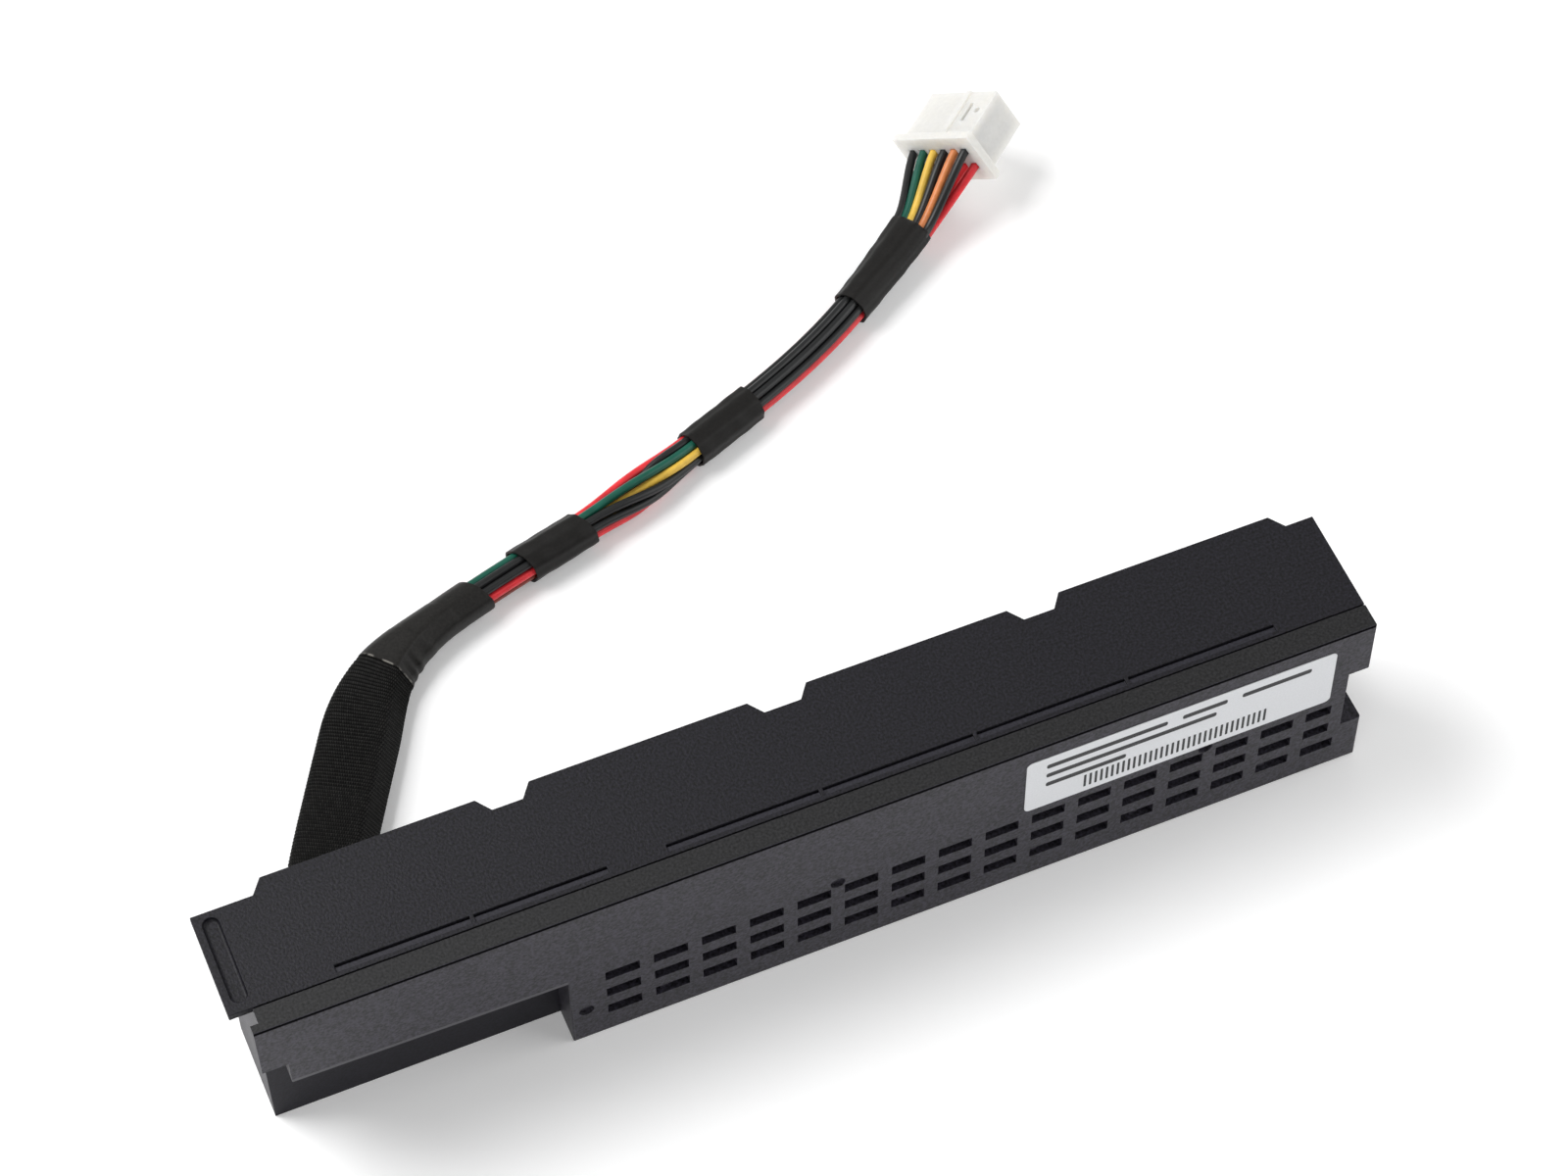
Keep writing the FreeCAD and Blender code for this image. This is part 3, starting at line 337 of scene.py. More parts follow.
# Finish of the woven sleeve: its colour, how light its threads and gaps are beside that, and their
# sizes in millimetres
WEAVE_BLACK = (0.0122, 0.0119, 0.0113, 1)
WEAVE_ROUGHNESS = 0.65
WEAVE_GLOSS = 0.1
THREAD_TONES = (1.2, 2.5)
THREAD_WIDTH = 0.42
GAP_TONE = 0.05
GAP_SIZE = 0.17
GAP_SOFTNESS = 0.8
GAP_STRENGTH = -0.8
GAP_DEPTH = 0.1 * MM

# Finish of the tape: its fibres, and the pale broken line where it starts, with its reach in
# millimetres
TAPE_BLACK = (0.0120, 0.0112, 0.0101, 1)
TAPE_ROUGHNESS = 0.45
TAPE_GLOSS = 0.22
FIBRE_SIZE = 0.5 * MM
FIBRE_TONES = (0.7, 1.3)
FIBRE_STRENGTH = 0.5
FIBRE_DEPTH = 0.02 * MM
START_LINE_PALE = (0.22, 0.21, 0.19, 1)
START_LINE_REACH = (0.1, 0.45)
START_LINE_GRAIN = 1.6 * MM
START_LINE_RANGE = (0.45, 0.6)

# Finish of the wires' insulation
WIRE_COLOURS = {
    "red": (0.76, 0.030, 0.040, 1),
    "black": (0.013, 0.0138, 0.0142, 1),
    "green": (0.005, 0.095, 0.062, 1),
    "orange": (0.66, 0.22, 0.07, 1),
    "brown": (0.20, 0.030, 0.016, 1),
    "yellow": (0.78, 0.50, 0.07, 1),
}
JACKET_ROUGHNESS = 0.38
JACKET_GLOSS = 0.4
JACKET_CLOUD = 3 * MM
JACKET_RANGE = (0.3, 0.7)
JACKET_TONES = (0.82, 1.12)


def pick(*pieces):
    """Selects these pieces alone, and makes the first the active one."""
    bpy.ops.object.select_all(action="DESELECT")
    for piece in pieces:
        piece.select_set(True)
    bpy.context.view_layer.objects.active = pieces[0]


def add_object(name, data):
    piece = bpy.data.objects.new(name, data)
    bpy.context.scene.collection.objects.link(piece)
    return piece


def join(pieces, name):
    """Joins pieces into the first of them."""
    pick(*pieces)
    bpy.ops.object.join()
    pieces[0].name = name
    return pieces[0]


def open_skin(piece):
    """Opens a piece for editing, with all of it selected."""
    pick(piece)
    bpy.ops.object.mode_set(mode="EDIT")
    bpy.ops.mesh.select_all(action="SELECT")


def close_skin():
    """Turns the selected faces outward, and ends the editing."""
    bpy.ops.mesh.normals_make_consistent(inside=False)
    bpy.ops.object.mode_set(mode="OBJECT")


def coat(piece, material):
    piece.data.materials.clear()
    piece.data.materials.append(material)


def stand_for(piece, node):
    """Puts a piece in the place of a node, hanging it on the root body and hiding the node."""
    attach(piece, "root")
    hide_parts(node)


# Materials


def new_material(name, colour, roughness, gloss=0.5):
    """A material with its shader and its coordinates."""
    material = bpy.data.materials.new(name)
    material.use_nodes = True
    nodes = material.node_tree.nodes
    shader = nodes["Principled BSDF"]
    shader.inputs["Base Color"].default_value = colour
    shader.inputs["Roughness"].default_value = roughness
    shader.inputs["Specular IOR Level"].default_value = gloss
    return material, shader, nodes.new("ShaderNodeTexCoord")


def noise(material, source, size, detail=CLOUD_DETAIL):
    """Noise whose grain has the given size."""
    texture = material.node_tree.nodes.new("ShaderNodeTexNoise")
    texture.inputs["Scale"].default_value = 1.0 / size
    texture.inputs["Detail"].default_value = detail
    material.node_tree.links.new(source, texture.inputs["Vector"])
    return texture.outputs["Fac"]


def ramp(material, source, between, dark, light):
    """Turns a value between two limits into a colour between dark and light."""
    node = material.node_tree.nodes.new("ShaderNodeValToRGB")
    for stop, position, colour in zip(node.color_ramp.elements, between, (dark, light)):
        stop.position = position
        stop.color = colour
    material.node_tree.links.new(source, node.inputs["Fac"])
    return node.outputs["Color"]


def spread(material, source, low, high, start=0.0, end=1.0):
    """Turns a value from start to end into one from low to high."""
    node = material.node_tree.nodes.new("ShaderNodeMapRange")
    node.inputs["From Min"].default_value = start
    node.inputs["From Max"].default_value = end
    node.inputs["To Min"].default_value = low
    node.inputs["To Max"].default_value = high
    material.node_tree.links.new(source, node.inputs["Value"])
    return node.outputs["Result"]


def bump(material, shader, height, strength, depth):
    node = material.node_tree.nodes.new("ShaderNodeBump")
    node.inputs["Strength"].default_value = strength
    node.inputs["Distance"].default_value = depth
    material.node_tree.links.new(height, node.inputs["Height"])
    material.node_tree.links.new(node.outputs["Normal"], shader.inputs["Normal"])


def part_axes(material, source):
    """The X, Y and Z of a place."""
    node = material.node_tree.nodes.new("ShaderNodeSeparateXYZ")
    material.node_tree.links.new(source, node.inputs["Vector"])
    return node.outputs


def reckon(material, operation, *values):
    """A sum of outputs and plain numbers."""
    node = material.node_tree.nodes.new("ShaderNodeMath")
    node.operation = operation
    for socket, value in zip(node.inputs, values):
        if isinstance(value, float):
            socket.default_value = value
        else:
            material.node_tree.links.new(value, socket)
    return node.outputs["Value"]


def mix_colours(material, share, base, over):
    """Mixes a plain colour over a base by a share."""
    node = material.node_tree.nodes.new("ShaderNodeMix")
    node.data_type = "RGBA"
    # The node's sockets for numbers, places and colours share their names, so these go by number
    share_in, base_in, over_in = (node.inputs[i] for i in (0, 6, 7))
    over_in.default_value = over
    material.node_tree.links.new(share, share_in)
    material.node_tree.links.new(base, base_in)
    return node.outputs[2]


def shade(colour, factor):
    return (colour[0] * factor, colour[1] * factor, colour[2] * factor, 1)


def grained(name):
    """A finish with an even grain and slightly cloudy gloss."""
    finish = FINISHES[name]
    colour, roughness = finish.colour, finish.roughness
    material, shader, place = new_material(name, colour, roughness, finish.gloss)
    shader.inputs["Metallic"].default_value = finish.metal
    link = material.node_tree.links.new
    grit = noise(material, place.outputs["Object"], finish.grain, GRAIN_DETAIL)
    cloud = noise(material, place.outputs["Object"], finish.grain * CLOUD_SPAN)
    dark, light = shade(colour, 1 - finish.variation), shade(colour, 1 + finish.variation)
    link(ramp(material, grit, GRAIN_RANGE, dark, light), shader.inputs["Base Color"])
    gloss = spread(material, cloud, roughness - CLOUD_GLOSS, roughness + CLOUD_GLOSS)
    link(gloss, shader.inputs["Roughness"])
    bump(material, shader, grit, GRAIN_STRENGTH, finish.depth)
    return material


def paint_lip_highlight(material):
    """Paints a pale highlight along the lip of the case's front recess."""
    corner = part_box("case_body")[0]
    nodes, link = material.node_tree.nodes, material.node_tree.links.new
    shader = nodes["Principled BSDF"]
    tone = shader.inputs["Base Color"].links[0].from_socket
    place = nodes.new("ShaderNodeTexCoord")
    axes = part_axes(material, place.outputs["Object"])
    slope = (LIP_RIGHT[1] - LIP_LEFT[1]) / (LIP_RIGHT[0] - LIP_LEFT[0])
    base = LIP_LEFT[1] - (corner.x + LIP_LEFT[0]) * slope
    lip = reckon(material, "MULTIPLY_ADD", axes["X"], slope, base)
    above = reckon(material, "SUBTRACT", axes["Z"], lip)
    band = reckon(material, "COMPARE", above, LIP_HIGHLIGHT_BAND / 2, LIP_HIGHLIGHT_BAND / 2)
    inside = reckon(material, "LESS_THAN", axes["X"], corner.x + RECESS_LENGTH)
    front = reckon(material, "LESS_THAN", axes["Y"], corner.y + CASE_EDGE)
    # Mask of the pale band painted along the lip as a highlight
    lip_highlight_mask = reckon(material, "MULTIPLY", reckon(material, "MULTIPLY", band, inside), front)
    link(mix_colours(material, lip_highlight_mask, tone, LIP_HIGHLIGHT_COLOUR), shader.inputs["Base Color"])


def soft_nylon():
    """Natural nylon, which lets some light in."""
    material = grained("natural_nylon")
    shader = material.node_tree.nodes["Principled BSDF"]
    shader.inputs["Subsurface Weight"].default_value = NYLON_SCATTER
    shader.inputs["Subsurface Scale"].default_value = NYLON_REACH
    shader.inputs["Subsurface Radius"].default_value = NYLON_TINT
    return material


def woven_cloth():
    """Woven cloth: threads side by side in each rib, set half a thread over in the next."""
    material, shader, place = new_material(
        "woven_black", WEAVE_BLACK, WEAVE_ROUGHNESS, WEAVE_GLOSS)
    link = material.node_tree.links.new
    threads = material.node_tree.nodes.new("ShaderNodeTexBrick")
    threads.inputs["Color1"].default_value = shade(WEAVE_BLACK, THREAD_TONES[0])
    threads.inputs["Color2"].default_value = shade(WEAVE_BLACK, THREAD_TONES[1])
    threads.inputs["Mortar"].default_value = shade(WEAVE_BLACK, GAP_TONE)
    threads.inputs["Scale"].default_value = 1.0
    threads.inputs["Mortar Size"].default_value = GAP_SIZE
    threads.inputs["Mortar Smooth"].default_value = GAP_SOFTNESS
    threads.inputs["Brick Width"].default_value = THREAD_WIDTH
    threads.inputs["Row Height"].default_value = WEAVE_PITCH / MM
    link(place.outputs["UV"], threads.inputs["Vector"])
    link(threads.outputs["Color"], shader.inputs["Base Color"])
    bump(material, shader, threads.outputs["Fac"], GAP_STRENGTH, GAP_DEPTH)
    return material


def taped_cloth():
    """Smooth cloth tape, with a pale broken line where it starts."""
    material, shader, place = new_material("tape_black", TAPE_BLACK, TAPE_ROUGHNESS, TAPE_GLOSS)
    fibres = noise(material, place.outputs["Object"], FIBRE_SIZE, GRAIN_DETAIL)
    dark, light = (shade(TAPE_BLACK, tone) for tone in FIBRE_TONES)
    tone = ramp(material, fibres, GRAIN_RANGE, dark, light)
    along = part_axes(material, place.outputs["UV"])["Y"]
    # Pale broken line along where the tape starts
    first, last = (TAPE[0] / MM + reach for reach in START_LINE_REACH)
    edge = spread(material, along, 1.0, 0.0, first, last)
    start_line_noise = noise(material, place.outputs["Object"], START_LINE_GRAIN)
    threads = ramp(material, start_line_noise, START_LINE_RANGE, BLACK, WHITE)
    start_line = reckon(material, "MULTIPLY", edge, threads)
    pale = mix_colours(material, start_line, tone, START_LINE_PALE)
    material.node_tree.links.new(pale, shader.inputs["Base Color"])
    bump(material, shader, fibres, FIBRE_STRENGTH, FIBRE_DEPTH)
    return material


def wire_jacket(name):
    """Insulation in one of the wires' colours."""
    colour = WIRE_COLOURS[name]
    material, shader, place = new_material(
        f"{name}_jacket", colour, JACKET_ROUGHNESS, JACKET_GLOSS)
    cloud = noise(material, place.outputs["Object"], JACKET_CLOUD)
    dark, light = (shade(colour, tone) for tone in JACKET_TONES)
    tone = ramp(material, cloud, JACKET_RANGE, dark, light)
    material.node_tree.links.new(tone, shader.inputs["Base Color"])
    return material


# Cable


class Route:
    """Points read along the cable's line, with the directions along, across and up."""

    def __init__(self, points):
        self.points = points
        self.marks = [0.0]
        for before, after in zip(points, points[1:]):
            self.marks.append(self.marks[-1] + (after - before).length)
        self.length = self.marks[-1]

    def at(self, distance):
        distance = min(max(distance, 0.0), self.length)
        i = min(max(bisect_left(self.marks, distance), 1), len(self.marks) - 1)
        share = (distance - self.marks[i - 1]) / (self.marks[i] - self.marks[i - 1])
        place = self.points[i - 1].lerp(self.points[i], share)
        behind = self.points[max(i - 2, 0)]
        ahead = self.points[min(i + 1, len(self.points) - 1)]
        along = (ahead - behind).normalized()
        across = along.cross(Vector((0, 0, 1))).normalized()
        return place, along, across, across.cross(along)


def add_spline(curve, kind, places):
    """Gives a curve a spline with these points."""
    spline = curve.splines.new(kind)
    spline.points.add(len(places) - 1)
    for point, place in zip(spline.points, places):
        point.co = (*place, 1.0)
    return spline


def read_route():
    """The cable's smooth line, read from a spline with the route's points as its control points."""
    curve = bpy.data.curves.new("cable_line", "CURVE")
    curve.dimensions = "3D"
    curve.resolution_u = ROUTE_STEPS
    spline = add_spline(curve, "NURBS", [CABLE_START + place for place in CABLE_ROUTE])
    spline.order_u = 3
    spline.use_endpoint_u = True
    line = bpy.data.objects.new("cable_line", curve)
    mesh = bpy.data.meshes.new_from_object(line)
    points = [vertex.co.copy() for vertex in mesh.vertices]
    bpy.data.meshes.remove(mesh)
    bpy.data.objects.remove(line)
    bpy.data.curves.remove(curve)
    return Route(points)


def eased(value, stretch):
    """How far a value is through a stretch, from 0 to 1, slower towards both ends."""
    start, end = stretch
    share = min(max((value - start) / (end - start), 0.0), 1.0)
    return share * share * (3 - 2 * share)


def even_angles(section, distance, sides):
    """Angles that part a section's outline into equal sides, and the outline's length."""
    points = [
        Vector(section(distance, math.tau * i / OUTLINE_STEPS)) for i in range(OUTLINE_STEPS + 1)
    ]
    marks = [0.0]
    for before, after in zip(points, points[1:]):
        marks.append(marks[-1] + (after - before).length)
    angles = []
    i = 0
    for k in range(sides):
        mark = marks[-1] * k / sides
        while marks[i + 1] < mark:
            i += 1
        share = (mark - marks[i]) / (marks[i + 1] - marks[i])
        angles.append(math.tau * (i + share) / OUTLINE_STEPS)
    return angles, marks[-1]


def sleeve_points(route, stretch, rings, angles, section, leans):
    """A sleeve's outer rings of points, and then its inner ones."""
    start, end = stretch
    points = []
    for inset in (0.0, SLEEVE_WALL):
        for i in range(rings):
            share = i / (rings - 1)
            lean = leans[0] * (1 - share) + leans[1] * share
            for angle in angles:
                distance = start + (end - start) * share + lean * math.cos(angle)
                place, _, across, up = route.at(distance)
                reach = Vector(section(distance, angle))
                reach -= reach.normalized() * inset
                points.append(place + across * reach.x + up * reach.y)
    return points


def sleeve_faces(rings, sides):
    """A sleeve's outer and inner walls, and the rims at both of its ends."""
    faces = []
    inner = rings * sides
    last = (rings - 1) * sides
    for k in range(sides):
        after = (k + 1) % sides
        for i in range(rings - 1):
            a, b = i * sides + k, i * sides + after
            faces.append((a, a + sides, b + sides, b))
            faces.append((inner + b, inner + b + sides, inner + a + sides, inner + a))
        faces.append((k, after, inner + after, inner + k))
        faces.append((last + after, last + k, inner + last + k, inner + last + after))
    return faces


def lay_threads(mesh, stretch, rings, sides, girth):
    """Gives a sleeve coordinates round it and along the cable, in millimetres."""
    start, end = stretch
    threads = mesh.uv_layers.new(name="threads")
    for polygon in mesh.polygons:
        wraps = any(vertex % sides == sides - 1 for vertex in polygon.vertices)
        for loop in polygon.loop_indices:
            vertex = mesh.loops[loop].vertex_index
            turn = vertex % sides
            if wraps and turn == 0:
                turn = sides
            ring = vertex // sides % rings
            distance = start + (end - start) * ring / (rings - 1)
            threads.data[loop].uv = (turn / sides * girth / MM, distance / MM)


def sweep(name, route, stretch, step, sides, section, leans=(0.0, 0.0)):
    """A sleeve with a wall along a stretch of the cable.

    The section gives its reach across and up. A lean is how far an end is cut aslant: the near
    side lies that far along, and the far side as far back.
    """
    start, end = stretch
    rings = max(FEWEST_STEPS, round((end - start) / step)) + 1
    angles, girth = even_angles(section, start, sides)
    points = sleeve_points(route, stretch, rings, angles, section, leans)
    mesh = bpy.data.meshes.new(name)
    mesh.from_pydata(points, [], sleeve_faces(rings, sides))
    lay_threads(mesh, stretch, rings, sides, girth)
    piece = add_object(name, mesh)
    open_skin(piece)
    close_skin()
    bpy.ops.object.shade_smooth_by_angle(angle=SLEEVE_SMOOTHING)
    return piece


def cover_section(distance, angle, grow):
    """Flat section with a level top, a crease and a slope, which turns round along the cable."""
    half_width = WEAVE_HALF[0] + WEAVE_SPREAD * eased(distance, SPREADING) + grow
    half_height = WEAVE_HALF[1] + grow
    across, up = math.cos(angle), math.sin(angle)
    x = half_width * math.copysign(abs(across) ** WEAVE_CORNER, across)
    z = half_height * math.copysign(abs(up) ** WEAVE_CORNER, up)
    z = min(z, half_height - (x - WEAVE_CREASE) * WEAVE_SLOPE)
    turned = eased(distance, ROUNDING)
    radius = ROUND_RADIUS + grow
    crease_up = math.sqrt(1 - ROUND_CREASE**2)
    round_up = min(up, crease_up - (across - ROUND_CREASE) * ROUND_SLOPE)
    x += (radius * across - x) * turned
    z += (radius * round_up - z) * turned
    return x, z


def weave_section(distance, angle):
    """The woven sleeve, raised at each rib."""
    rib = -WEAVE_RIB * math.cos(math.tau * distance / WEAVE_PITCH)
    return cover_section(distance, angle, rib)


def tape_section(distance, angle):
    """The tape over the end of the woven sleeve, with a few folds inside the bend."""
    share = (distance - TAPE[0]) / (TAPE[1] - TAPE[0])
    x, z = cover_section(distance, angle, TAPE_SLACK * (1 - share))
    along = math.exp(-(((share - FOLD_MIDDLE) / FOLD_SPAN) ** 2))
    bend = along * max(0.0, math.cos(angle - FOLD_SIDE)) ** FOLD_FADE
    drift = FOLD_DRIFT * math.sin(distance / MM * FOLD_DRIFT_RATE)
    fold = FOLD_DEPTH * math.sin(distance / MM * FOLD_RATE + drift) * bend
    wound = TAPE_LAYER * ((distance / TAPE_LAP + angle / math.tau) % 1.0)
    grow = 1 + (fold + wound) / math.hypot(x, z)
    return x * grow, z * grow


def shrink_section(distance, angle):
    """Shrunk tube: the wires show through it as soft ridges, and the last one ends flat."""
    ridges = RIDGE_HEIGHT * math.cos(angle * OUTER_PLACES + distance / MM * RIDGE_TWIST)
    waves = WAVE_HEIGHT * math.sin(distance / MM * WAVE_RATE + angle * WAVE_SIDES)
    waves *= math.sin(distance / MM * WAVE_SWELL_RATE)
    radius = SHRINK_RADIUS + ridges + waves
    flat = eased(distance, SHRINKS[-1])
    wide, high = radius * (1 + MOUTH_WIDER * flat), radius * (1 - MOUTH_LOWER * flat)
    return wide * math.cos(angle), high * math.sin(angle)


def place_in_bundle(number, turn):
    """Angle and distance from the middle of one of the places in the bundle."""
    if number < OUTER_PLACES:
        return math.tau * number / OUTER_PLACES + turn, OUTER_RING
    return math.tau * (number - OUTER_PLACES) / CORE_PLACES + CORE_TURN + turn, CORE_RING


def wire_reach(wire, distance):
    """Reach across and up of one wire at a distance along the cable."""
    _, places, (row, column) = wire
    first, second, last = SHRINKS
    stations = (
        (TAPE[1], places[0], TURNS[0]), (first[0], places[0], TURNS[0]),
        (first[1], places[0], TURNS[1]), (second[0], places[1], TURNS[2]),
        (second[1], places[2], TURNS[3]), (last[0], places[2], TURNS[3]),
    )
    i = 1
    while i < len(stations) - 1 and stations[i][0] < distance:
        i += 1
    share = eased(distance, (stations[i - 1][0], stations[i][0]))
    angle, radius = place_in_bundle(*stations[i - 1][1:])
    next_angle, next_radius = place_in_bundle(*stations[i][1:])
    angle += ((next_angle - angle + math.pi) % math.tau - math.pi) * share
    out = share
    bulge = 1.0
    if first[1] < distance < second[0]:
        bulge += LOOSE_BULGE * math.sin(math.pi * share)
        if next_radius > radius:
            out = eased(share, (COME_OUT, 1))
    radius = (radius + (next_radius - radius) * out) * bulge
    mouth = eased(distance, last)
    x, z = radius * math.cos(angle), radius * math.sin(angle)
    x += ((column - MIDDLE_COLUMN) * MOUTH_PITCH - x) * mouth
    z += ((row - MIDDLE_ROW) * MOUTH_ROWS_APART - z) * mouth
    return x, z


def wire_curve(name, points, jacket, radius):
    """One insulated wire through the points."""
    curve = bpy.data.curves.new(name, "CURVE")
    curve.dimensions = "3D"
    curve.bevel_depth = radius
    curve.bevel_resolution = WIRE_ROUNDNESS
    curve.use_fill_caps = True
    add_spline(curve, "POLY", points)
    curve.materials.append(jacket)
    return add_object(name, curve)


def as_one_mesh(wires, name):
    pick(*wires)
    bpy.ops.object.convert(target="MESH")
    piece = join(wires, name)
    bpy.ops.object.shade_smooth_by_angle(angle=SMOOTHING)
    return piece


def make_bundle(route, jackets):
    """The twelve wires from the board to the end of the last sleeve."""
    count = round(route.length / WIRE_STEP)
    wires = []
    for number, wire in enumerate(WIRES, start=1):
        points = []
        for i in range(count + 1):
            distance = route.length * i / count
            place, _, across, up = route.at(distance)
            x, z = wire_reach(wire, distance)
            points.append(place + across * x + up * z)
        wires.append(wire_curve(f"wire_{number}", points, jackets[wire[0]], WIRE_RADIUS))
    return as_one_mesh(wires, "cable_wires")


def make_fan(route, jackets):
    """The single wires between the last sleeve and the plug."""
    turn = PLUG_TURN.to_matrix()
    axis = turn @ Vector((1, 0, 0))
    place, along, across, up = route.at(route.length)
    wires = []
    for number, wire in enumerate(WIRES, start=1):
        colour, _, (row, column) = wire
        x, z = wire_reach(wire, route.length)
        start = place + across * x + up * z
        seat = Vector((
            FAN_IN_FLANGE - FLANGE_LENGTH,
            (MIDDLE_COLUMN - column) * CONTACT_PITCH,
            (row - MIDDLE_ROW) * ROWS_APART,
        ))
        end = PLUG_PLACE + turn @ seat
        reach = (end - start).length * FAN_BEND
        pulls = (start, start + along * reach, end - axis * reach, end)
        points = [start - along * FAN_IN_MOUTH]
        for i in range(FAN_STEPS + 1):
            t = i / FAN_STEPS
            weights = ((1 - t) ** 3, 3 * t * (1 - t) ** 2, 3 * t * t * (1 - t), t**3)
            points.append(sum((pull * weight for pull, weight in zip(pulls, weights)), Vector()))
        wires.append(wire_curve(f"plug_wire_{number}", points, jackets[colour], FAN_WIRE_RADIUS))
    return as_one_mesh(wires, "plug_wires")


# Moulded pieces and the label


def merged_copy(node, name):
    """A copy of a rigid node as one closed skin of flat faces."""
    piece = add_object(name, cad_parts[node].data.copy())
    open_skin(piece)
    bpy.ops.mesh.remove_doubles(threshold=SKIN_GAP)
    bpy.ops.mesh.dissolve_limited(angle_limit=FLAT_ANGLE)
    close_skin()
    return piece


def round_edges(piece, width):
    """Rounds a piece's sharp edges, to catch the light."""
    pick(piece)
    bevel = piece.modifiers.new("edges", "BEVEL")
    bevel.width = width
    bevel.segments = EDGE_SEGMENTS
    bevel.limit_method = "ANGLE"
    bevel.angle_limit = SHARP_ANGLE
    bpy.ops.object.modifier_apply(modifier=bevel.name)
    bpy.ops.object.shade_smooth_by_angle(angle=SMOOTHING)
    flatten = piece.modifiers.new("flat_faces", "WEIGHTED_NORMAL")
    flatten.keep_sharp = True
    bpy.ops.object.modifier_apply(modifier=flatten.name)


def coat_case(case):
    """Coats the case, with darker copies of its colour painted as shade on three of its places.

    These are the strip beside the lid, the rounded edge in front of it, and the recess's face.
    """
    low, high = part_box("case_body")
    front = grained("case_grey")
    # Painted highlight along the recess's lip
    paint_lip_highlight(front)
    coat(case, front)
    for name in ("strip_painted_shade", "edge_painted_shade", "recess_painted_shade"):
        case.data.materials.append(grained(name))
    recess_end = low.x + RECESS_LENGTH
    # Painted shade: darker finishes on the top strip, the edge in front of it and the recess's face
    for face in case.data.polygons:
        top = face.center.z > high.z - CASE_EDGE
        behind = face.center.y - low.y
        in_recess = abs(behind - RECESS_DEPTH) < CASE_EDGE and face.center.x < recess_end
        if top and behind < STRIP_DEPTH and face.normal.z > SQUARE:
            face.material_index = 1
        elif top and behind < CASE_EDGE and face.normal.y < -JUST_TURNED:
            face.material_index = 2
        elif in_recess and face.normal.y < -SQUARE:
            face.material_index = 3


def in_slot(place, lid_top):
    between = place.x > SLOTS_LEFT and SLOT_FRONT < place.y < SLOT_BACK
    return between and SLOT_DEPTHS[0] < lid_top - place.z < SLOT_DEPTHS[1]


def shape_slots(lid):
    """Gives each slot of the lid a level floor, and a deep channel along its far side."""
    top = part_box("lid")[1].z
    lip = SLOT_BACK - SLOT_CHANNEL
    pick(lid)
    bpy.ops.object.mode_set(mode="EDIT")
    bpy.ops.mesh.select_mode(type="FACE")
    bpy.ops.mesh.select_all(action="DESELECT")
    bpy.ops.object.mode_set(mode="OBJECT")
    for face in lid.data.polygons:
        face.select = in_slot(face.center, top) and face.normal.z > HALF_TURNED
    bpy.ops.object.mode_set(mode="EDIT")
    bpy.ops.mesh.bisect(plane_co=(0, lip, 0), plane_no=(0, 1, 0))
    bpy.ops.mesh.select_mode(type="VERT")
    bpy.ops.mesh.select_all(action="DESELECT")
    bpy.ops.object.mode_set(mode="OBJECT")
    for vertex in lid.data.vertices:
        vertex.select = in_slot(vertex.co, top) and vertex.co.y < lip + SLOT_CHANNEL_MARGIN
    bpy.ops.object.mode_set(mode="EDIT")
    bpy.ops.transform.resize(value=(1, 1, 0), center_override=(0, 0, top - SLOT_FLOOR))
    bpy.ops.object.mode_set(mode="OBJECT")


def coat_lid(lid):
    """Coats the lid, with a lighter copy of its colour painted as light on the floors of its slots.
    """
    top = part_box("lid")[1].z
    coat(lid, grained("lid_black"))
    lid.data.materials.append(grained("slot_painted_light"))
    # Painted light: the lighter finish on the slot floors
    for face in lid.data.polygons:
        shallow = top - face.center.z < SLOT_FLOOR + SLOT_FLOOR_MARGIN
        if in_slot(face.center, top) and shallow and face.normal.z > NEARLY_SQUARE:
            face.material_index = 1


def ink_block(width, height, middle):
    """A thin block of ink with rounded corners, upright on the label's face."""
    bpy.ops.object.select_all(action="DESELECT")
    bpy.ops.mesh.primitive_cube_add(size=1.0)
    block = bpy.context.active_object
    block.scale = (width, PRINT_LAYER, height)
    bpy.ops.object.transform_apply(location=False, rotation=False, scale=True)
    corners = block.modifiers.new("corners", "BEVEL")
    corners.affect = "EDGES"
    corners.width = min(width, height) * PRINT_CORNER
    corners.segments = EDGE_SEGMENTS
    corners.limit_method = "WEIGHT"
    weights = block.data.attributes.new("bevel_weight_edge", "FLOAT", "EDGE")
    for edge in block.data.edges:
        start, end = (block.data.vertices[v].co for v in edge.vertices)
        weights.data[edge.index].value = 1.0 if abs(start.y - end.y) > PRINT_LAYER / 2 else 0.0
    bpy.ops.object.modifier_apply(modifier=corners.name)
    block.location = middle
    return block


def make_label():
    """The label, with plain lines and a field of even bars."""
    low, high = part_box("product_label")
    sheet = merged_copy("product_label", "label_sheet")
    round_edges(sheet, LABEL_EDGE)
    coat(sheet, grained("label_white"))
    marks = []
    for left, below, length in PRINT_LINES:
        middle = (low.x + left + length / 2, low.y, high.z - below)
        marks.append(ink_block(length, PRINT_LINE_HEIGHT, middle))
    first_bar = (low.x + BARS_LEFT, low.y, high.z - BARS_MIDDLE)
    bar = ink_block(*BAR_SIZE, first_bar)
    marks.append(bar)
    for i in range(1, BAR_COUNT):
        twin = add_object("ink_bar", bar.data.copy())
        twin.location = Vector(first_bar) + Vector((BAR_STEP * i, 0, 0))
        marks.append(twin)
    ink = grained("print_black")
    for mark in marks:
        coat(mark, ink)
    print_layer = join(marks, "label_print")
    bpy.ops.object.transform_apply(location=True, rotation=False, scale=False)
    return join([sheet, print_layer], "label_sheet")


# Stage


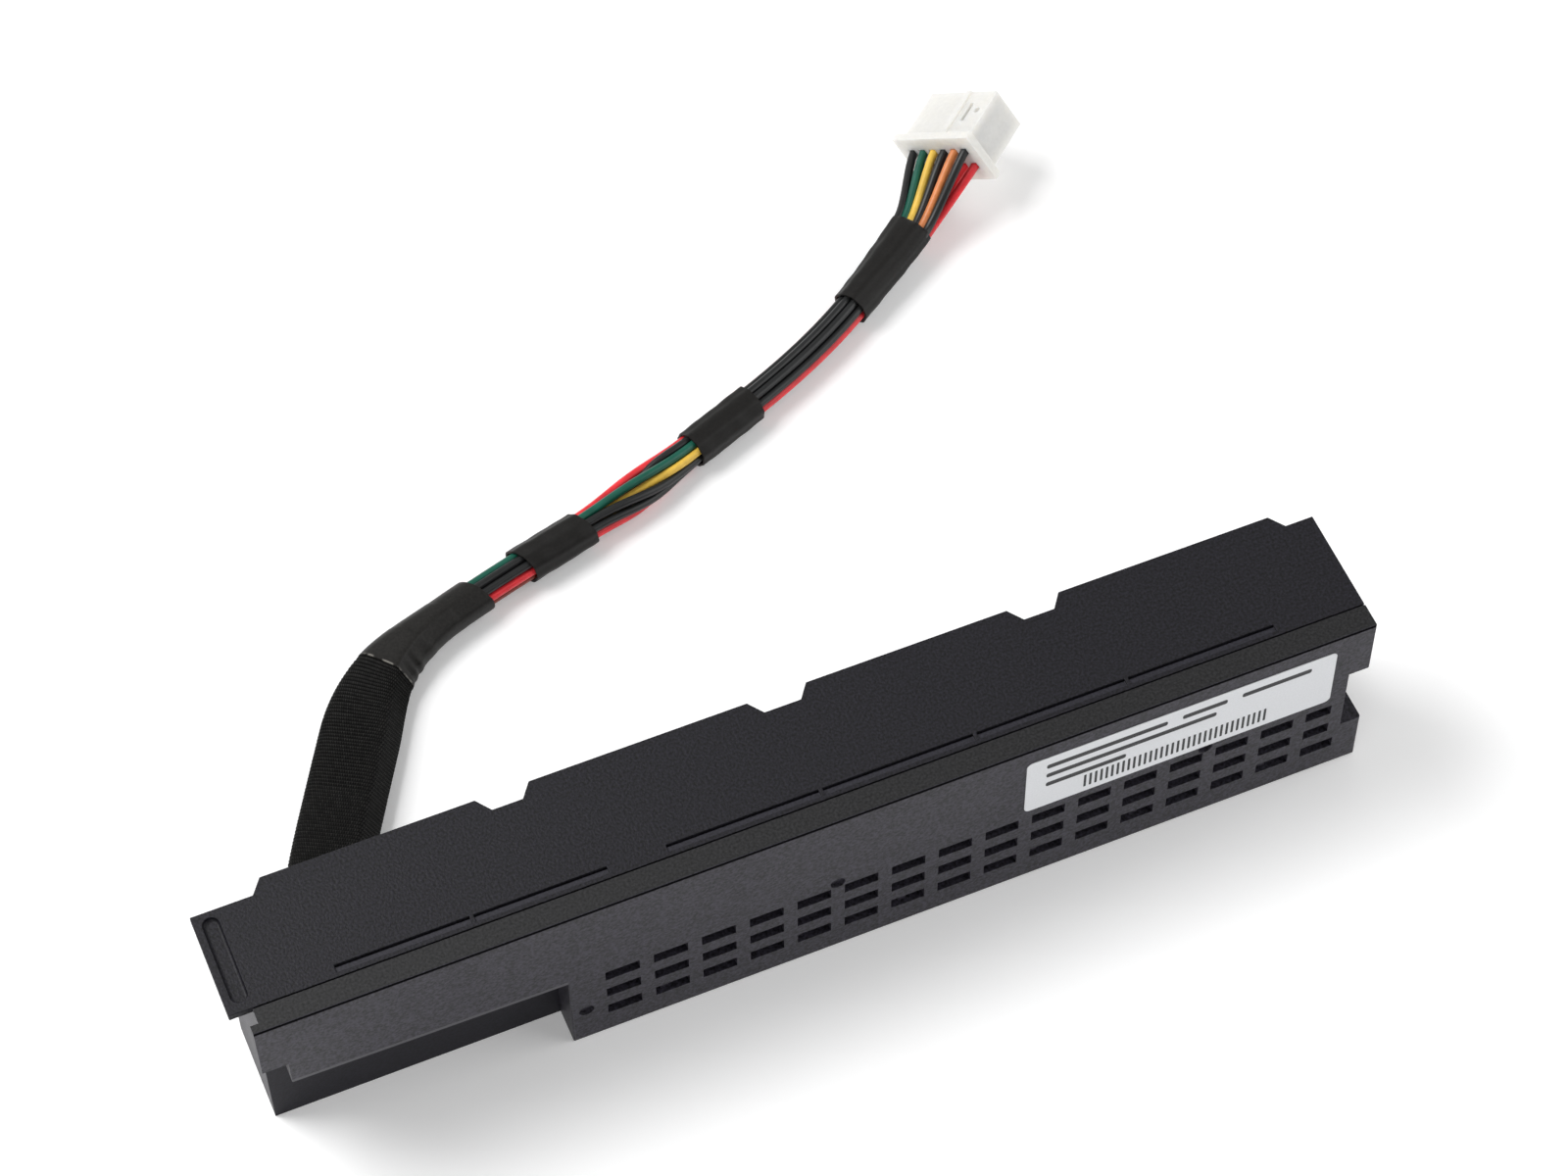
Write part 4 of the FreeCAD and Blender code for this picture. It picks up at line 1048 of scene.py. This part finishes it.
def lay_floor():
    bpy.ops.object.select_all(action="DESELECT")
    bpy.ops.mesh.primitive_plane_add(size=FLOOR_SIZE, location=(0, 0, -FLOOR_DROP))
    floor = bpy.context.active_object
    floor.name = "floor"
    material, shader, _ = new_material("pale_floor", FLOOR_COLOUR, FLOOR_ROUGHNESS)
    shader.inputs["Emission Color"].default_value = WHITE
    shader.inputs["Emission Strength"].default_value = FLOOR_GLOW
    floor.data.materials.append(material)


def place_camera():
    camera = bpy.data.cameras.new("camera")
    camera.lens = CAMERA_LENS
    camera.sensor_width = CAMERA_SENSOR
    camera.clip_start = CAMERA_NEAR
    viewer = add_object("camera", camera)
    back = -CAMERA_VIEW.normalized()
    right = CAMERA_RIGHT.normalized()
    axes = Matrix((right, back.cross(right), back)).transposed()
    viewer.matrix_world = Matrix.Translation(CAMERA_PLACE) @ axes.to_4x4()
    bpy.context.scene.camera = viewer


def light_stage():
    """Lamps that face the middle, and a studio that is brighter behind the case."""
    for name, place, size, power in LAMPS:
        light = bpy.data.lights.new(name, "AREA")
        light.size = size
        light.energy = power
        lamp = add_object(name, light)
        lamp.location = place
        lamp.rotation_euler = (-place).to_track_quat("-Z", "Y").to_euler()
    world = bpy.data.worlds.new("studio")
    world.use_nodes = True
    nodes, link = world.node_tree.nodes, world.node_tree.links.new
    direction = nodes.new("ShaderNodeTexCoord")
    back = part_axes(world, direction.outputs["Generated"])["Y"]
    brightness = spread(world, back, WORLD_FRONT, WORLD_BACK, -1.0)
    link(brightness, nodes["Background"].inputs["Strength"])
    nodes["Background"].inputs["Color"].default_value = WHITE
    bpy.context.scene.world = world
    bpy.context.scene.view_settings.view_transform = "Standard"


lay_floor()
place_camera()
light_stage()

route = read_route()
jackets = {name: wire_jacket(name) for name in WIRE_COLOURS}
wires = make_bundle(route, jackets)
stand_for(wires, "wire_bundle")
plug_wires = make_fan(route, jackets)
stand_for(plug_wires, "wire_fan")

weave = sweep("woven_cover", route, WEAVE, WEAVE_STEP, WEAVE_SIDES, weave_section)
coat(weave, woven_cloth())
stand_for(weave, "woven_sleeve")
tape = sweep("cloth_tape", route, TAPE, TAPE_STEP, SLEEVE_SIDES, tape_section, (0.0, TAPE_LEAN))
coat(tape, taped_cloth())
stand_for(tape, "tape_sleeve")
shrink_black = grained("shrink_black")
for number, stretch in enumerate(SHRINKS, start=1):
    lean = SHRINK_LEAN if number == 1 else 0.0
    cover = sweep(
        f"shrunk_cover_{number}", route, stretch, SHRINK_STEP, SLEEVE_SIDES, shrink_section,
        (lean, lean))
    coat(cover, shrink_black)
    stand_for(cover, f"heat_shrink_{number}")

case = merged_copy("case_body", "case_moulding")
round_edges(case, CASE_EDGE)
coat_case(case)
stand_for(case, "case_body")
lid = merged_copy("lid", "lid_moulding")
shape_slots(lid)
round_edges(lid, LID_EDGE)
coat_lid(lid)
stand_for(lid, "lid")
housing = merged_copy("plug_housing", "plug_moulding")
round_edges(housing, PLUG_EDGE)
coat(housing, soft_nylon())
stand_for(housing, "plug_housing")
label = make_label()
stand_for(label, "product_label")

for finish, starts in INSIDE.items():
    material = grained(finish)
    for name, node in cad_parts.items():
        if name.startswith(starts):
            for slot in node.material_slots:
                slot.material = material
